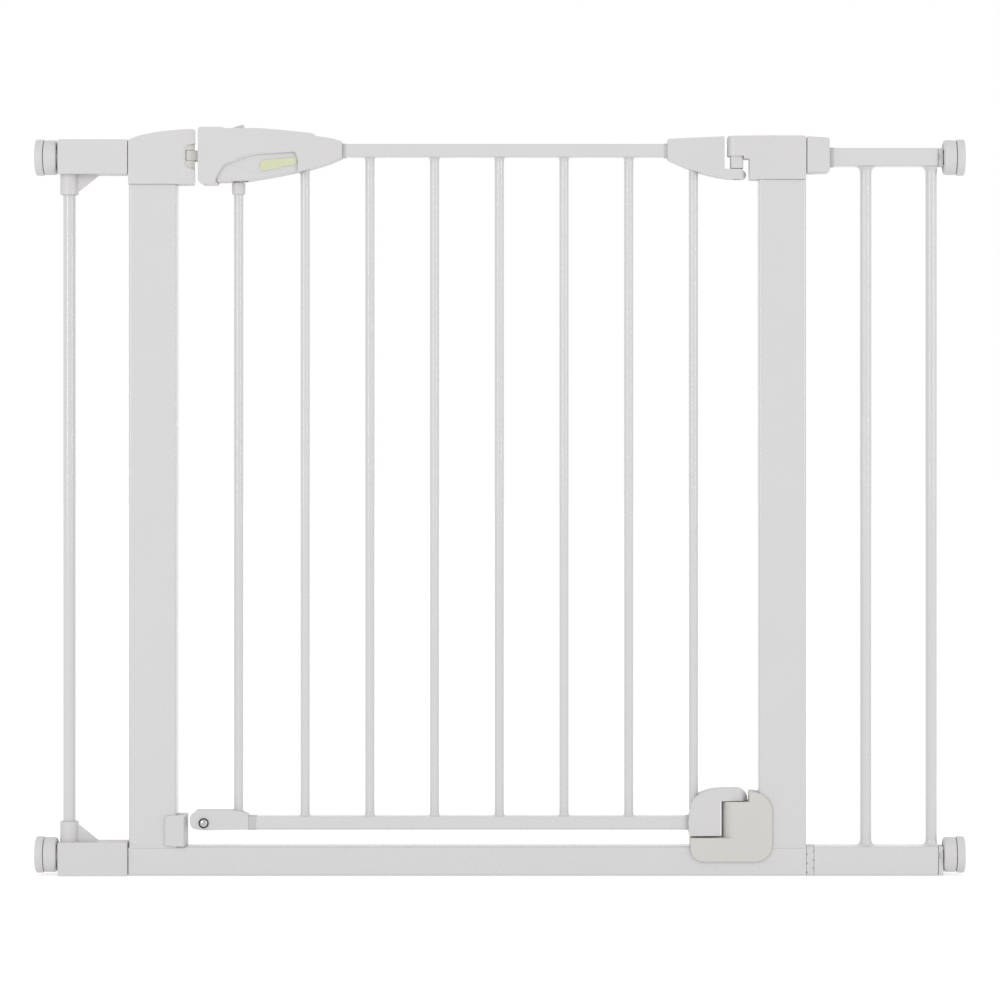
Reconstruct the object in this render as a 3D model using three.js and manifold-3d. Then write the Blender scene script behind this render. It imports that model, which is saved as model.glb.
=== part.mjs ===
// A pressure-mounted safety baby gate: a U-shaped steel frame between two walls, a barred door
// that swings towards the front, and a side extension at each end of the frame.
// Millimetres, +Z up, +X to the right, -Y to the front. The origin is on the floor, midway
// between the two walls and midway through the gate's thickness.

import * as THREE from 'three';
import { mergeVertices } from 'three/addons/utils/BufferGeometryUtils.js';
import Module from 'manifold-3d';

const wasm = await Module();
wasm.setup();

// ---- Driving dimensions ---------------------------------------------------------------------

const GAP = 0.3; // between two pieces that touch
const RUNNING = 0.4; // round a bar or a pin in its hole

const HALF_WIDTH = 473; // from the middle to the wall
const TOP_AXIS_Z = 731.2; // the upper spindles
const LOW_AXIS_Z = 20.7; // the lower spindles

// The welded frame.
const RAIL = { left: -377.6, right: 311.3, top: 30, halfDepth: 12.5, wall: 1.5 };
const POST_WIDTH = 48.6;
const LATCH_POST_TOP = 702.6;
const HINGE_POST_TOP = 707.6;
const CAP_LIFT = 0.8; // from a post's end to the underside of its cap
const CAP_HALF_DEPTH = 14.3;
const SPIGOT_LENGTH = 14;

// The door.
const HINGE_X = 241;
const BAR_RADIUS = 4.75;
const BAR_WALL = 1;
const BAR_PITCH = 66;
const FIRST_BAR_X = -266.8;
const SECOND_BAR_X = -199;
const DOOR_RAIL = { halfDepth: 9, wall: 1.2, height: 13.5 };
const DOOR_TOP_RAIL_Z = 731.2;
const DOOR_LOW_RAIL_Z = 46.7;

// The hinge pins.
const UPPER_PIN = { radius: 3, headRadius: 4.2, bottom: 710, neck: 712.7, top: 744 };
const LOWER_PIN = { radius: 4, bottom: 34.3, top: 85.5 };
const CLOSER = { radius: 9.2, wire: 1.2, from: 46, to: 73, turns: 6, steps: 10, sides: 5 };

// The handle and its mechanism.
const HANDLE_LEFT = -306.9;
const HANDLE_RIGHT = -160.8;
const HANDLE_HALF_DEPTH = 17;
const HANDLE_END_HALF_DEPTH = 12.5;
const HANDLE_TAPER_FROM = -280;
const SHELL_WALL = 2.4;
const LEVER_INSET = 2.8; // from the handle's outside to the lever's side
const LEVER_PIVOT = [-212, 741];
const PIVOT_PIN = { radius: 2, halfLength: 13.2 };
const BOLT_AXIS_Z = 732.5;
const BOLT_TIP = -319;
const BOLT_TAIL = -284.8;
const BOLT_TRAVEL = 12.6;
const BOLT_PIN_X = -288.5;
const LEVER_ANGLE = (8 * Math.PI) / 180;
const BOLT_SPRING = { radius: 2.8, wire: 0.5, turns: 10, steps: 8, sides: 4 };

// The extensions.
const LEFT_BLOCK = { left: -449.6, right: -379.3, halfDepth: 15, bossTip: -451.1 };
const LEFT_TUBE = { x: -439.4, radius: 6.3 };
const GUSSET = { shoulder: -430, foot: -406, height: 17, halfThickness: 3 };
const RIGHT_RAIL_END = 445.2;
const PLUG = { from: 446, to: 450.7, stem: 11 };
const RIGHT_BARS = [372.7, 439.4];
const RIGHT_BAR_RADIUS = 5.8;
const RIGHT_TOP_RAIL = { from: 318.3, half: 9.4, wall: 1.2 };
const COLLAR_RIGHT = 335.1;
const CLIP = { to: 319, tongueFrom: 297, tongueTo: 333 };

// The spindle sets.
const ROD_RADIUS = 5;
const ROD_LENGTH = 80;
const WHEEL = { radius: 17.75, from: 451.4, to: 464.2 };
const CUP = { radius: 18.5, from: 464.6 };

const EDGE = 0.5; // the chamfer round a moulded face
const SIDES = 12;
const ROUND_SIDES = 20;

// ---- Materials ------------------------------------------------------------------------------

const finish = (color, roughness, metalness) =>
  new THREE.MeshStandardMaterial({ color, roughness, metalness });

const MATERIALS = {
  paint: finish(0xd9d7d8, 0.4, 0.1),
  plastic: finish(0xdad8d9, 0.5, 0),
  ivory: finish(0xcfcdc8, 0.55, 0),
  glow: finish(0xd8dabf, 0.6, 0),
  chrome: finish(0xc8c8c8, 0.1, 1),
  steel: finish(0xb4b4b2, 0.35, 1),
  rubber: finish(0xc9c9c7, 0.9, 0),
};

// ---- Solids ---------------------------------------------------------------------------------

/** Turns a closed three.js geometry into a solid that can be joined and cut. */
function solid(geometry) {
  geometry.deleteAttribute('normal');
  geometry.deleteAttribute('uv');
  const merged = mergeVertices(geometry, 1e-4);
  const vertProperties = new Float32Array(merged.attributes.position.array);
  const triVerts = new Uint32Array(merged.index.array);
  return new wasm.Manifold(new wasm.Mesh({ numProp: 3, vertProperties, triVerts }));
}

/** A box between two corners. */
function box(x0, x1, y0, y1, z0, z1) {
  const geometry = new THREE.BoxGeometry(x1 - x0, y1 - y0, z1 - z0);
  geometry.translate((x0 + x1) / 2, (y0 + y1) / 2, (z0 + z1) / 2);
  return solid(geometry);
}

/** A point on the way from one corner to another, at a distance from the first. */
function towards([x, y], [tx, ty], distance) {
  const share = distance / Math.hypot(tx - x, ty - y);
  return [x + (tx - x) * share, y + (ty - y) * share];
}

/** A shape through corners [x, y, r], where r is how far a rounded corner reaches. */
function outline(corners) {
  const shape = new THREE.Shape();
  corners.forEach(([x, y, r = 0], i) => {
    const start = towards([x, y], corners.at(i - 1), r);
    const end = towards([x, y], corners[(i + 1) % corners.length], r);
    if (i === 0) shape.moveTo(...start);
    else shape.lineTo(...start);
    if (r > 0) shape.quadraticCurveTo(x, y, ...end);
  });
  shape.closePath();
  return shape;
}

/** Extrudes a shape, with an optional chamfer on both faces. */
function extrude(shape, depth, edge) {
  return new THREE.ExtrudeGeometry(shape, {
    depth: depth - 2 * edge,
    bevelEnabled: edge > 0,
    bevelThickness: edge,
    bevelSize: edge,
    bevelOffset: -edge,
    bevelSegments: 1,
    curveSegments: 4,
  });
}

/** A plate whose outline is drawn in X and Z, from y0 to y1. */
function plate(corners, y0, y1, edge = 0) {
  const geometry = extrude(outline(corners), y1 - y0, edge);
  geometry.rotateX(Math.PI / 2);
  geometry.translate(0, y1 - edge, 0);
  return solid(geometry);
}

/** A prism whose outline is drawn in X and Y, from z0 to z1. */
function prism(corners, z0, z1) {
  const geometry = extrude(outline(corners), z1 - z0, 0);
  geometry.translate(0, 0, z0);
  return solid(geometry);
}

/** Turns a closed profile of [radius, height] points round +Z. */
function turned(profile, sides = ROUND_SIDES) {
  const points = profile.map(([r, h]) => new THREE.Vector2(r, h));
  const geometry = new THREE.LatheGeometry(points, sides);
  geometry.rotateX(Math.PI / 2);
  return geometry;
}

/** A plain round bar along +Z between two heights. */
function disc(radius, from, to, sides = SIDES) {
  return turned([[0, from], [radius, from], [radius, to], [0, to]], sides);
}

/** A round bar along Z at a place in X. */
function upright(x, radius, z0, z1, sides = SIDES) {
  return solid(disc(radius, z0, z1, sides).translate(x, 0, 0));
}

/** Lays a geometry that was turned round +Z along +X, at a height. */
function alongX(geometry, z) {
  return geometry.rotateY(Math.PI / 2).translate(0, 0, z);
}

/** Lays a geometry that was turned round +Z along +Y, at a place in X and Z. */
function alongY(geometry, x, z) {
  return geometry.rotateX(-Math.PI / 2).translate(x, 0, z);
}

/** A round tube along Z, open at both ends. */
function roundTube(x, radius, wall, z0, z1) {
  const inner = radius - wall;
  const profile = [[inner, z0], [radius, z0], [radius, z1], [inner, z1], [inner, z0]];
  return solid(turned(profile, SIDES).translate(x, 0, 0));
}

/** A rectangular tube along X, open at both ends. */
function railTube(x0, x1, halfDepth, z0, z1, wall) {
  const outside = box(x0, x1, -halfDepth, halfDepth, z0, z1);
  const inner = halfDepth - wall;
  return outside.subtract(box(x0 - 1, x1 + 1, -inner, inner, z0 + wall, z1 - wall));
}

/** A rectangular tube along Z, open at both ends. */
function postTube(x0, z1) {
  const { halfDepth, wall, top } = RAIL;
  const outside = box(x0, x0 + POST_WIDTH, -halfDepth, halfDepth, top + GAP, z1);
  const inner = halfDepth - wall;
  return outside.subtract(box(x0 + wall, x0 + POST_WIDTH - wall, -inner, inner, 0, z1 + 1));
}

/** A helix of round wire about +Z, as an open curve. */
class Helix extends THREE.Curve {
  constructor(radius, from, to, turns) {
    super();
    Object.assign(this, { radius, from, to, turns });
  }

  getPoint(t, target = new THREE.Vector3()) {
    const angle = 2 * Math.PI * this.turns * t;
    const height = this.from + (this.to - this.from) * t;
    return target.set(this.radius * Math.cos(angle), this.radius * Math.sin(angle), height);
  }
}

/** A coil spring of round wire about +Z. */
function spring({ radius, wire, from, to, turns, steps, sides }) {
  const section = new THREE.Shape();
  for (let i = 0; i < sides; i += 1) {
    const angle = (2 * Math.PI * i) / sides;
    const point = [wire * Math.cos(angle), wire * Math.sin(angle)];
    if (i === 0) section.moveTo(...point);
    else section.lineTo(...point);
  }
  section.closePath();
  return new THREE.ExtrudeGeometry(section, {
    extrudePath: new Helix(radius, from, to, turns),
    steps: turns * steps,
    bevelEnabled: false,
  });
}

/** The finished mesh of one named piece. */
function piece(name, body, material) {
  const { vertProperties, triVerts } = body.getMesh();
  const shared = new THREE.BufferGeometry();
  shared.setAttribute('position', new THREE.BufferAttribute(vertProperties, 3));
  shared.setIndex(new THREE.BufferAttribute(triVerts, 1));
  const geometry = shared.toNonIndexed();
  geometry.computeVertexNormals();
  const mesh = new THREE.Mesh(geometry, material);
  mesh.name = name;
  return mesh;
}

// ---- The welded frame -----------------------------------------------------------------------

const LATCH_POST_INNER = RAIL.left + POST_WIDTH;
const HINGE_POST_INNER = RAIL.right - POST_WIDTH;
const SPIGOT = RAIL.halfDepth - RAIL.wall - GAP;
const CATCH = {
  left: -340.6, right: -319.8, top: 61.7, halfDepth: 15.5, step: 1.5, stepRear: 10.3,
  stepFloor: 45,
};

/** A block that plugs the open top of a post. */
function postSpigot(postLeft, capBottom) {
  const inset = RAIL.wall + GAP;
  const right = postLeft + POST_WIDTH - inset;
  const low = capBottom - SPIGOT_LENGTH;
  return box(postLeft + inset, right, -SPIGOT, SPIGOT, low, capBottom + 1);
}

// The tongue and socket that join an extension to a post's cap.
const TONGUE = { halfDepth: 7.7, low: 722, high: 741, length: 12 };

function tongueSocket(x0, x1) {
  const half = TONGUE.halfDepth + GAP;
  return box(x0, x1, -half, half, TONGUE.low - GAP, TONGUE.high + GAP);
}

/** The cap of the latch post. A pocket in its inner end receives the bolt from the front. */
function latchPostCap() {
  const left = RAIL.left - 0.4;
  const right = -309.5;
  const bottom = LATCH_POST_TOP + CAP_LIFT;
  const halfDepth = CAP_HALF_DEPTH;
  const pocketRear = 8.6;
  const lean = 3.7;
  const body = plate(
    [
      [left, bottom], [left, 748.5, 2], [-365.5, 753, 6], [-345, 757, 8], [-319, 759.2, 6],
      [right, 759.2, 3], [right, bottom, 1],
    ],
    -halfDepth, halfDepth, EDGE,
  );
  const pocket = plate(
    [[-321, 739.5, 2], [-318, 743, 2], [right + 1, 744.8], [right + 1, 717], [-318, 720, 2],
      [-321, 723, 2]],
    -halfDepth - 1, pocketRear,
  );
  // Its inner end slants back, so that the gap to the handle stays open to the eye.
  const slant = [
    [right, -halfDepth], [right + 5, -halfDepth], [right + 5, halfDepth + 1],
    [right - lean, halfDepth + 1],
  ];
  return body
    .subtract(prism(slant, bottom - 1, 760))
    .add(postSpigot(RAIL.left, bottom))
    .subtract(pocket)
    .subtract(tongueSocket(left - 1, left + TONGUE.length + 1));
}

/** The cap of the hinge post. Its nose reaches over the door's arm and holds the upper pin. */
function hingePostCap() {
  const bottom = HINGE_POST_TOP + CAP_LIFT;
  const halfDepth = CAP_HALF_DEPTH;
  const noseRadius = 12;
  const noseLeft = HINGE_X - 9.4;
  const right = RAIL.right;
  const side = plate(
    [
      [noseLeft, 732.3], [noseLeft, 752.8, 1], [right, 752.8, 2], [right, bottom, 1],
      [253.7, bottom, 1], [253.7, 729.7],
      [247.7, 729.7], [247.7, 732.3],
    ],
    -halfDepth, halfDepth, EDGE,
  );
  const plan = [[right + 1, -halfDepth - 1], [right + 1, halfDepth + 1], [253.9, halfDepth + 1]];
  plan.push([253.2, noseRadius]);
  for (let degrees = 90; degrees <= 270; degrees += 15) {
    const angle = (degrees * Math.PI) / 180;
    const x = Math.max(HINGE_X + noseRadius * Math.cos(angle), noseLeft - 1);
    plan.push([x, noseRadius * Math.sin(angle)]);
  }
  plan.push([253.2, -noseRadius], [253.9, -halfDepth - 1]);
  const bossRadius = 6.9;
  return side
    .intersect(prism(plan, 700, 760))
    .add(upright(HINGE_X, bossRadius, 720.3, 734))
    .add(postSpigot(RAIL.right - POST_WIDTH, bottom))
    .subtract(upright(HINGE_X, UPPER_PIN.radius + RUNNING, 719, UPPER_PIN.top + GAP))
    .subtract(tongueSocket(right - TONGUE.length - 1, right + 1));
}

/** The upper pin, with a head sunk in the door's arm from below. */
function upperHingePin() {
  const { radius, headRadius, bottom, neck, top } = UPPER_PIN;
  return solid(
    turned([[0, bottom], [headRadius, bottom], [headRadius, neck], [radius, neck],
      [radius, top], [0, top]], SIDES).translate(HINGE_X, 0, 0),
  );
}

/** The catch on the latch post's foot: it wraps the post's inner edge. A shallow step in its
 *  inner face is open to the front, opposite the nose of the door's lower block. */
function catchBracket() {
  const { left, right, top, halfDepth, step, stepRear, stepFloor } = CATCH;
  const nearPost = RAIL.halfDepth + GAP;
  const bottom = RAIL.top + GAP;
  const body = plate(
    [[left, bottom, 3], [left, top, 4], [right, top, 1], [right, bottom]],
    -halfDepth, halfDepth, EDGE,
  );
  return body
    .subtract(box(left - 1, LATCH_POST_INNER + GAP, -nearPost, nearPost, 0, top + 1))
    .subtract(box(right - step, right + 1, -halfDepth - 1, stepRear, stepFloor, top + 1));
}

// The bracket at the hinge post's foot.
const BRACKET = { halfDepth: 15.5, ledge: 38.8, column: 75.4, top: 85.5, wallX: 253.2 };
const SPRING_WELL_RADIUS = 11.5;

/** The bracket over the corner of rail and hinge post. Its column holds the lower pin and the
 *  closing spring, and the door's lower arm turns on top of it. */
function hingeBracket() {
  const { halfDepth, ledge, column, top, wallX } = BRACKET;
  const near = RAIL.halfDepth + GAP;
  const corner = plate(
    [
      [193.3, ledge, 1], [193.3, 14.4, 14], [276.6, 14.4, 18], [276.6, top, 20],
      [wallX, top, 1], [wallX, ledge],
    ],
    -halfDepth, halfDepth, EDGE,
  );
  return corner
    .add(upright(HINGE_X, halfDepth, ledge - 2, column, ROUND_SIDES))
    .add(box(HINGE_X, wallX + 2, -halfDepth, halfDepth, ledge - 2, column))
    .subtract(box(180, 280, -near, near, 0, RAIL.top + GAP))
    .subtract(box(HINGE_POST_INNER - GAP, 280, -near, near, 0, 100))
    .subtract(upright(HINGE_X, SPRING_WELL_RADIUS, 44, column + 1, ROUND_SIDES))
    .subtract(upright(HINGE_X, LOWER_PIN.radius + RUNNING, LOWER_PIN.bottom - GAP, 45));
}

function weldedFrame() {
  const group = new THREE.Group();
  const { left, right, top, halfDepth, wall } = RAIL;
  const { paint, plastic, ivory, steel } = MATERIALS;
  const lowerPin = upright(HINGE_X, LOWER_PIN.radius, LOWER_PIN.bottom, LOWER_PIN.top);
  group.add(
    piece('frame_bottom_rail', railTube(left, right, halfDepth, 0, top, wall), paint),
    piece('latch_post', postTube(left, LATCH_POST_TOP), paint),
    piece('hinge_post', postTube(right - POST_WIDTH, HINGE_POST_TOP), paint),
    piece('latch_post_cap', latchPostCap(), plastic),
    piece('hinge_post_cap', hingePostCap(), plastic),
    piece('upper_hinge_pin', upperHingePin(), steel),
    piece('lower_hinge_pin', lowerPin, steel),
    piece('catch_bracket', catchBracket(), plastic),
    piece('hinge_bracket', hingeBracket(), ivory),
    piece('closer_spring', solid(spring(CLOSER).translate(HINGE_X, 0, 0)), steel),
  );
  return group;
}

// ---- The left extension ---------------------------------------------------------------------

const TUBE_SEAT = 3; // from a block's face to the end of the tube in its socket
const LEFT_BLOCKS = {
  top: { z0: 713.6, z1: 748.8, spindleZ: TOP_AXIS_Z, facing: -1 },
  bottom: { z0: 0, z1: 34.2, spindleZ: LOW_AXIS_Z, facing: 1 },
};

const span = (a, b) => [Math.min(a, b), Math.max(a, b)];
const socketFace = ({ z0, z1, facing }) => (facing > 0 ? z1 : z0);

/** A moulded block with a socket and a gusset for the tube, and a bore for the spindle. */
function leftBlock(block) {
  const { z0, z1, spindleZ, facing } = block;
  const { left, right, halfDepth, bossTip } = LEFT_BLOCK;
  const face = socketFace(block);
  const root = face - facing * 2;
  const end = face + facing * 20.6;
  const ribEnd = face + facing * GUSSET.height;
  const body = plate(
    [[left, z0, 2], [right, z0, 1], [right, z1, 1], [left, z1, 2]],
    -halfDepth, halfDepth, EDGE,
  );
  const rib = [
    [LEFT_TUBE.x, root], [LEFT_TUBE.x, ribEnd], [GUSSET.shoulder, ribEnd], [GUSSET.foot, root],
  ];
  const boss = disc(13, bossTip, left + 2, ROUND_SIDES);
  const bore = disc(ROD_RADIUS + RUNNING, left - 4, left + 62);
  const seat = span(face + facing * (TUBE_SEAT - GAP), end + facing);
  return body
    .add(upright(LEFT_TUBE.x, 9.4, ...span(root, end), ROUND_SIDES))
    .add(plate(rib, -GUSSET.halfThickness, GUSSET.halfThickness))
    .add(solid(alongX(boss, spindleZ)))
    .subtract(solid(alongX(bore, spindleZ)))
    .subtract(upright(LEFT_TUBE.x, LEFT_TUBE.radius + RUNNING, ...seat));
}

function leftExtension() {
  const group = new THREE.Group();
  const { paint, plastic } = MATERIALS;
  const { top, bottom } = LEFT_BLOCKS;
  const root = LEFT_BLOCK.right - 1;
  const { halfDepth } = TONGUE;
  const capEnd = RAIL.left - 0.4 + TONGUE.length;
  const capTongue = box(root, capEnd, -halfDepth, halfDepth, TONGUE.low, TONGUE.high);
  const edge = RAIL.wall + GAP;
  const railEnd = RAIL.left + 15;
  const railTongue = box(root, railEnd, -SPIGOT, SPIGOT, edge, RAIL.top - edge);
  const low = socketFace(bottom) + TUBE_SEAT;
  const high = socketFace(top) - TUBE_SEAT;
  const tube = roundTube(LEFT_TUBE.x, LEFT_TUBE.radius, BAR_WALL, low, high);
  group.add(
    piece('left_ext_top_block', leftBlock(top).add(capTongue), plastic),
    piece('left_ext_bottom_block', leftBlock(bottom).add(railTongue), plastic),
    piece('left_ext_tube', tube, paint),
  );
  return group;
}

// ---- The right extension --------------------------------------------------------------------

/** A collar that joins the upper extension rail to the hinge post's cap. */
function extensionCollar() {
  const left = RAIL.right + 2;
  const right = COLLAR_RIGHT;
  const half = RIGHT_TOP_RAIL.half + GAP;
  const seat = RIGHT_TOP_RAIL.from - GAP;
  const body = plate(
    [[left, 714.8, 1], [left, 752, 1], [right, 750.6, 2], [right, 715.6, 2]], -14, 14, EDGE,
  );
  const { halfDepth, low, high, length } = TONGUE;
  const tongue = box(RAIL.right - length, left + 1, -halfDepth, halfDepth, low, high);
  const socket = box(seat, right + 1, -half, half, TOP_AXIS_Z - half, TOP_AXIS_Z + half);
  return body.add(tongue).subtract(socket);
}

/** A joiner between the two lower rails: a visible band with a tongue on each side. */
function extensionClip() {
  const edge = RAIL.wall + GAP;
  const { to, tongueFrom, tongueTo } = CLIP;
  const band = box(RAIL.right + GAP, to, -RAIL.halfDepth, RAIL.halfDepth, 0, RAIL.top);
  const tongues = box(tongueFrom, tongueTo, -SPIGOT, SPIGOT, edge, RAIL.top - edge);
  return band.add(tongues);
}

/** A plug in the end of a rail, bored for the spindle. */
function endPlug(railHalfDepth, wall, z0, z1, spindleZ) {
  const inset = wall + GAP;
  const inner = railHalfDepth - inset;
  const { from, to, stem } = PLUG;
  const flange = box(from, to, -railHalfDepth, railHalfDepth, z0, z1);
  const body = box(from - stem, from + 1, -inner, inner, z0 + inset, z1 - inset);
  const bore = disc(ROD_RADIUS + RUNNING, from - stem - 1, to + 1);
  return flange.add(body).subtract(solid(alongX(bore, spindleZ)));
}

function rightExtension() {
  const group = new THREE.Group();
  const { paint, plastic } = MATERIALS;
  const { from, half, wall: topWall } = RIGHT_TOP_RAIL;
  const [low, high] = [TOP_AXIS_Z - half, TOP_AXIS_Z + half];
  const { top, halfDepth, wall } = RAIL;
  const upper = railTube(from, RIGHT_RAIL_END, half, low, high, topWall);
  const lower = railTube(CLIP.to + GAP, RIGHT_RAIL_END, halfDepth, 0, top, wall);
  const [inner, outer] = RIGHT_BARS.map(
    x => roundTube(x, RIGHT_BAR_RADIUS, BAR_WALL, top + GAP, low - GAP),
  );
  group.add(
    piece('right_ext_top_rail', upper, paint),
    piece('right_ext_bottom_rail', lower, paint),
    piece('right_ext_bar_inner', inner, paint),
    piece('right_ext_bar_outer', outer, paint),
    piece('ext_collar', extensionCollar(), plastic),
    piece('ext_clip', extensionClip(), plastic),
    piece('right_top_plug', endPlug(half, topWall, low, high, TOP_AXIS_Z), plastic),
    piece('right_bottom_plug', endPlug(halfDepth, wall, 0.2, top - 0.2, LOW_AXIS_Z), plastic),
  );
  return group;
}

// ---- The spindle sets -----------------------------------------------------------------------

/** A spindle set for the right-hand end: its wheel, rod, wall cup and pad lie along +X. */
function spindleSet(place, z) {
  const group = new THREE.Group();
  const { plastic, steel, rubber } = MATERIALS;
  const hole = ROD_RADIUS + RUNNING;
  const { radius, from, to } = WHEEL;
  const wheel = turned([
    [hole, from], [radius - 2.5, from], [radius, from + 2.5], [radius, to - 1],
    [radius - 1, to], [hole, to], [hole, from],
  ]);
  const floor = 469.5;
  const screwHole = 2.2;
  const padFrom = 471;
  const cup = turned([
    [hole, CUP.from], [CUP.radius - 1.5, CUP.from], [CUP.radius, CUP.from + 1.5],
    [CUP.radius, HALF_WIDTH - 1.5], [CUP.radius - 1.5, HALF_WIDTH], [15, HALF_WIDTH],
    [15, padFrom], [screwHole, padFrom], [screwHole, floor], [hole, floor], [hole, CUP.from],
  ]);
  const padTop = HALF_WIDTH - 0.3;
  const pad = turned([
    [4, padFrom + GAP], [14.6, padFrom + GAP], [14.6, padTop], [4, padTop], [4, padFrom + GAP],
  ]);
  const rodEnd = floor - GAP;
  const rod = disc(ROD_RADIUS, rodEnd - ROD_LENGTH, rodEnd);
  group.add(
    piece(`adjuster_wheel_${place}`, solid(alongX(wheel, z)), plastic),
    piece(`spindle_${place}`, solid(alongX(rod, z)), steel),
    piece(`wall_cup_${place}`, solid(alongX(cup, z)), plastic),
    piece(`wall_pad_${place}`, solid(alongX(pad, z)), rubber),
  );
  if (place.startsWith('left')) group.rotation.z = Math.PI;
  return group;
}

// ---- The door -------------------------------------------------------------------------------

/** Half the handle's thickness at a place along it. */
function handleHalfDepth(x) {
  const share = (x - HANDLE_TAPER_FROM) / (HANDLE_RIGHT - HANDLE_TAPER_FROM);
  const taper = HANDLE_HALF_DEPTH - HANDLE_END_HALF_DEPTH;
  return HANDLE_HALF_DEPTH - taper * Math.max(0, share);
}

/** The handle's plan, drawn in from its outside by some distance. */
function handlePlan(inset) {
  const wide = handleHalfDepth(HANDLE_LEFT) - inset;
  const far = HANDLE_RIGHT + 5;
  const narrow = handleHalfDepth(far) - inset;
  return prism(
    [
      [-310, -wide], [HANDLE_TAPER_FROM, -wide], [far, -narrow],
      [far, narrow], [HANDLE_TAPER_FROM, wide], [-310, wide],
    ],
    680, 780,
  );
}

const HANDLE_OUTLINE = [
  [HANDLE_LEFT, 761.2, 3], [-282.2, 761.2], [-280, 759.9], [-262, 759.9], [-248.7, 760.2],
  [-233.4, 759.3], [-213, 757.4], [-191, 755.2, 1], [-186.8, 752.2, 1], [-172.5, 750.3],
  [HANDLE_RIGHT, 747, 1],
  [HANDLE_RIGHT, 730.7, 1], [-177.6, 723.6], [-192.8, 719.5], [-203, 716], [-223.3, 712.4],
  [-243.6, 708.9], [-258.8, 706.3], [-287.3, 705.4], [-289.3, 703.6], [HANDLE_LEFT, 703.6, 5],
];

const CAVITY_RIGHT = -205.5;
const HANDLE_CAVITY = [
  [-304.3, 758.6], [-284, 758.6], [-282, 757.4], [-248.7, 757.6], [-233.4, 756.8],
  [-213, 754.6], [CAVITY_RIGHT, 753.5], [CAVITY_RIGHT, 718.2], [-223.3, 715], [-258.8, 709],
  [-287.3, 708], [-304.3, 706.2],
];

// The window in the handle's side that shows the lever.
const LEVER_WINDOW = [
  [-287.8, 700], [-287.8, 708.5], [-283, 716.8], [-277.6, 723.1, 3], [-273, 723.6, 2],
  [-258.8, 730.2], [-247.7, 733.2], [-208, 736.2, 2], [CAVITY_RIGHT, 727], [CAVITY_RIGHT, 700],
];

const RIB = { low: 744.5, high: 749.5 }; // the ribs that hold the first bar in the handle

/** Both shells of the handle in one, before they are parted. */
function handleBody() {
  const outside = plate(HANDLE_OUTLINE, -20, 20).intersect(handlePlan(0));
  const cavity = plate(HANDLE_CAVITY, -20, 20).intersect(handlePlan(SHELL_WALL));
  const inner = plate(HANDLE_CAVITY, -20, 20).intersect(handlePlan(1));
  const guideHigh = box(-304.8, -296, -20, 20, BOLT_AXIS_Z + 5.5, BOLT_AXIS_Z + 9);
  const guideLow = box(-304.8, -296, -20, 20, BOLT_AXIS_Z - 9, BOLT_AXIS_Z - 5.5);
  const barRib = box(-274, -259.5, -20, 20, RIB.low, RIB.high);
  const ribs = guideHigh.add(guideLow).add(barRib).intersect(inner);
  const half = DOOR_RAIL.halfDepth + GAP;
  const railTop = DOOR_TOP_RAIL_Z + DOOR_RAIL.height;
  const [pivotX, pivotZ] = LEVER_PIVOT;
  const pivotHole = PIVOT_PIN.radius + RUNNING;
  return outside
    .subtract(cavity)
    .add(ribs)
    .subtract(plate(LEVER_WINDOW, -20, 20))
    .subtract(box(-310, -303, -7.5, 7.5, BOLT_AXIS_Z - 5.6, BOLT_AXIS_Z + 5.6))
    .subtract(box(-279.8, -263.2, -3, 3, 750, 770))
    .subtract(box(-190.3, -150, -half, half, DOOR_TOP_RAIL_Z - GAP, railTop + GAP))
    .subtract(upright(SECOND_BAR_X, BAR_RADIUS + RUNNING, 700, 727))
    .subtract(upright(FIRST_BAR_X, BAR_RADIUS + RUNNING, 700, 755))
    .subtract(solid(alongY(disc(pivotHole, -13.6, 13.6), pivotX, pivotZ)));
}

/** The slanted slot in a lever's cheek that draws the bolt's pin back as the lever rises. */
function camSlot() {
  const [pivotX, pivotZ] = LEVER_PIVOT;
  const cos = Math.cos(LEVER_ANGLE);
  const sin = Math.sin(LEVER_ANGLE);
  const dx = BOLT_PIN_X + BOLT_TRAVEL - pivotX;
  const dz = BOLT_AXIS_Z - pivotZ;
  const start = [BOLT_PIN_X, BOLT_AXIS_Z];
  const end = [pivotX + dx * cos - dz * sin, pivotZ + dx * sin + dz * cos];
  const half = 2.8;
  const length = Math.hypot(end[0] - start[0], end[1] - start[1]);
  const along = [(end[0] - start[0]) / length, (end[1] - start[1]) / length];
  const corner = (from, forward, side) => [
    from[0] + half * (forward * along[0] - side * along[1]),
    from[1] + half * (forward * along[1] + side * along[0]),
    1.5,
  ];
  return plate(
    [corner(start, -1, -1), corner(start, -1, 1), corner(end, 1, 1), corner(end, 1, -1)],
    -12.4, 12.4,
  );
}

/** The lift lever: two cheeks and a thin floor round the first bar, on a pivot at the right. */
function liftLever() {
  const [pivotX, pivotZ] = LEVER_PIVOT;
  const side = [
    [-287.3, 706], [-287.3, 712], [-294, 726], [-294, 737.5, 2], [-287, 737.5], [-270, 731],
    [-247.7, 734], [-220, 746, 3], [-206.4, 746, 4], [-206.4, 716.4], [-223.3, 712.9],
    [-243.6, 709.4], [-258.8, 706.8],
  ];
  const trough = [
    [-300, 708.5], [-258.8, 709.3], [-243.6, 711.9], [-224, 715.4], [-224, 760], [-300, 760],
  ];
  const bar = box(-272.6, -256.6, -5.6, 5.6, 700, 715);
  return plate(side, -20, 20)
    .intersect(handlePlan(LEVER_INSET))
    .subtract(plate(trough, -8, 8))
    .subtract(bar)
    .subtract(camSlot())
    .subtract(solid(alongY(disc(PIVOT_PIN.radius + RUNNING, -20, 20), pivotX, pivotZ)));
}

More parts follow.
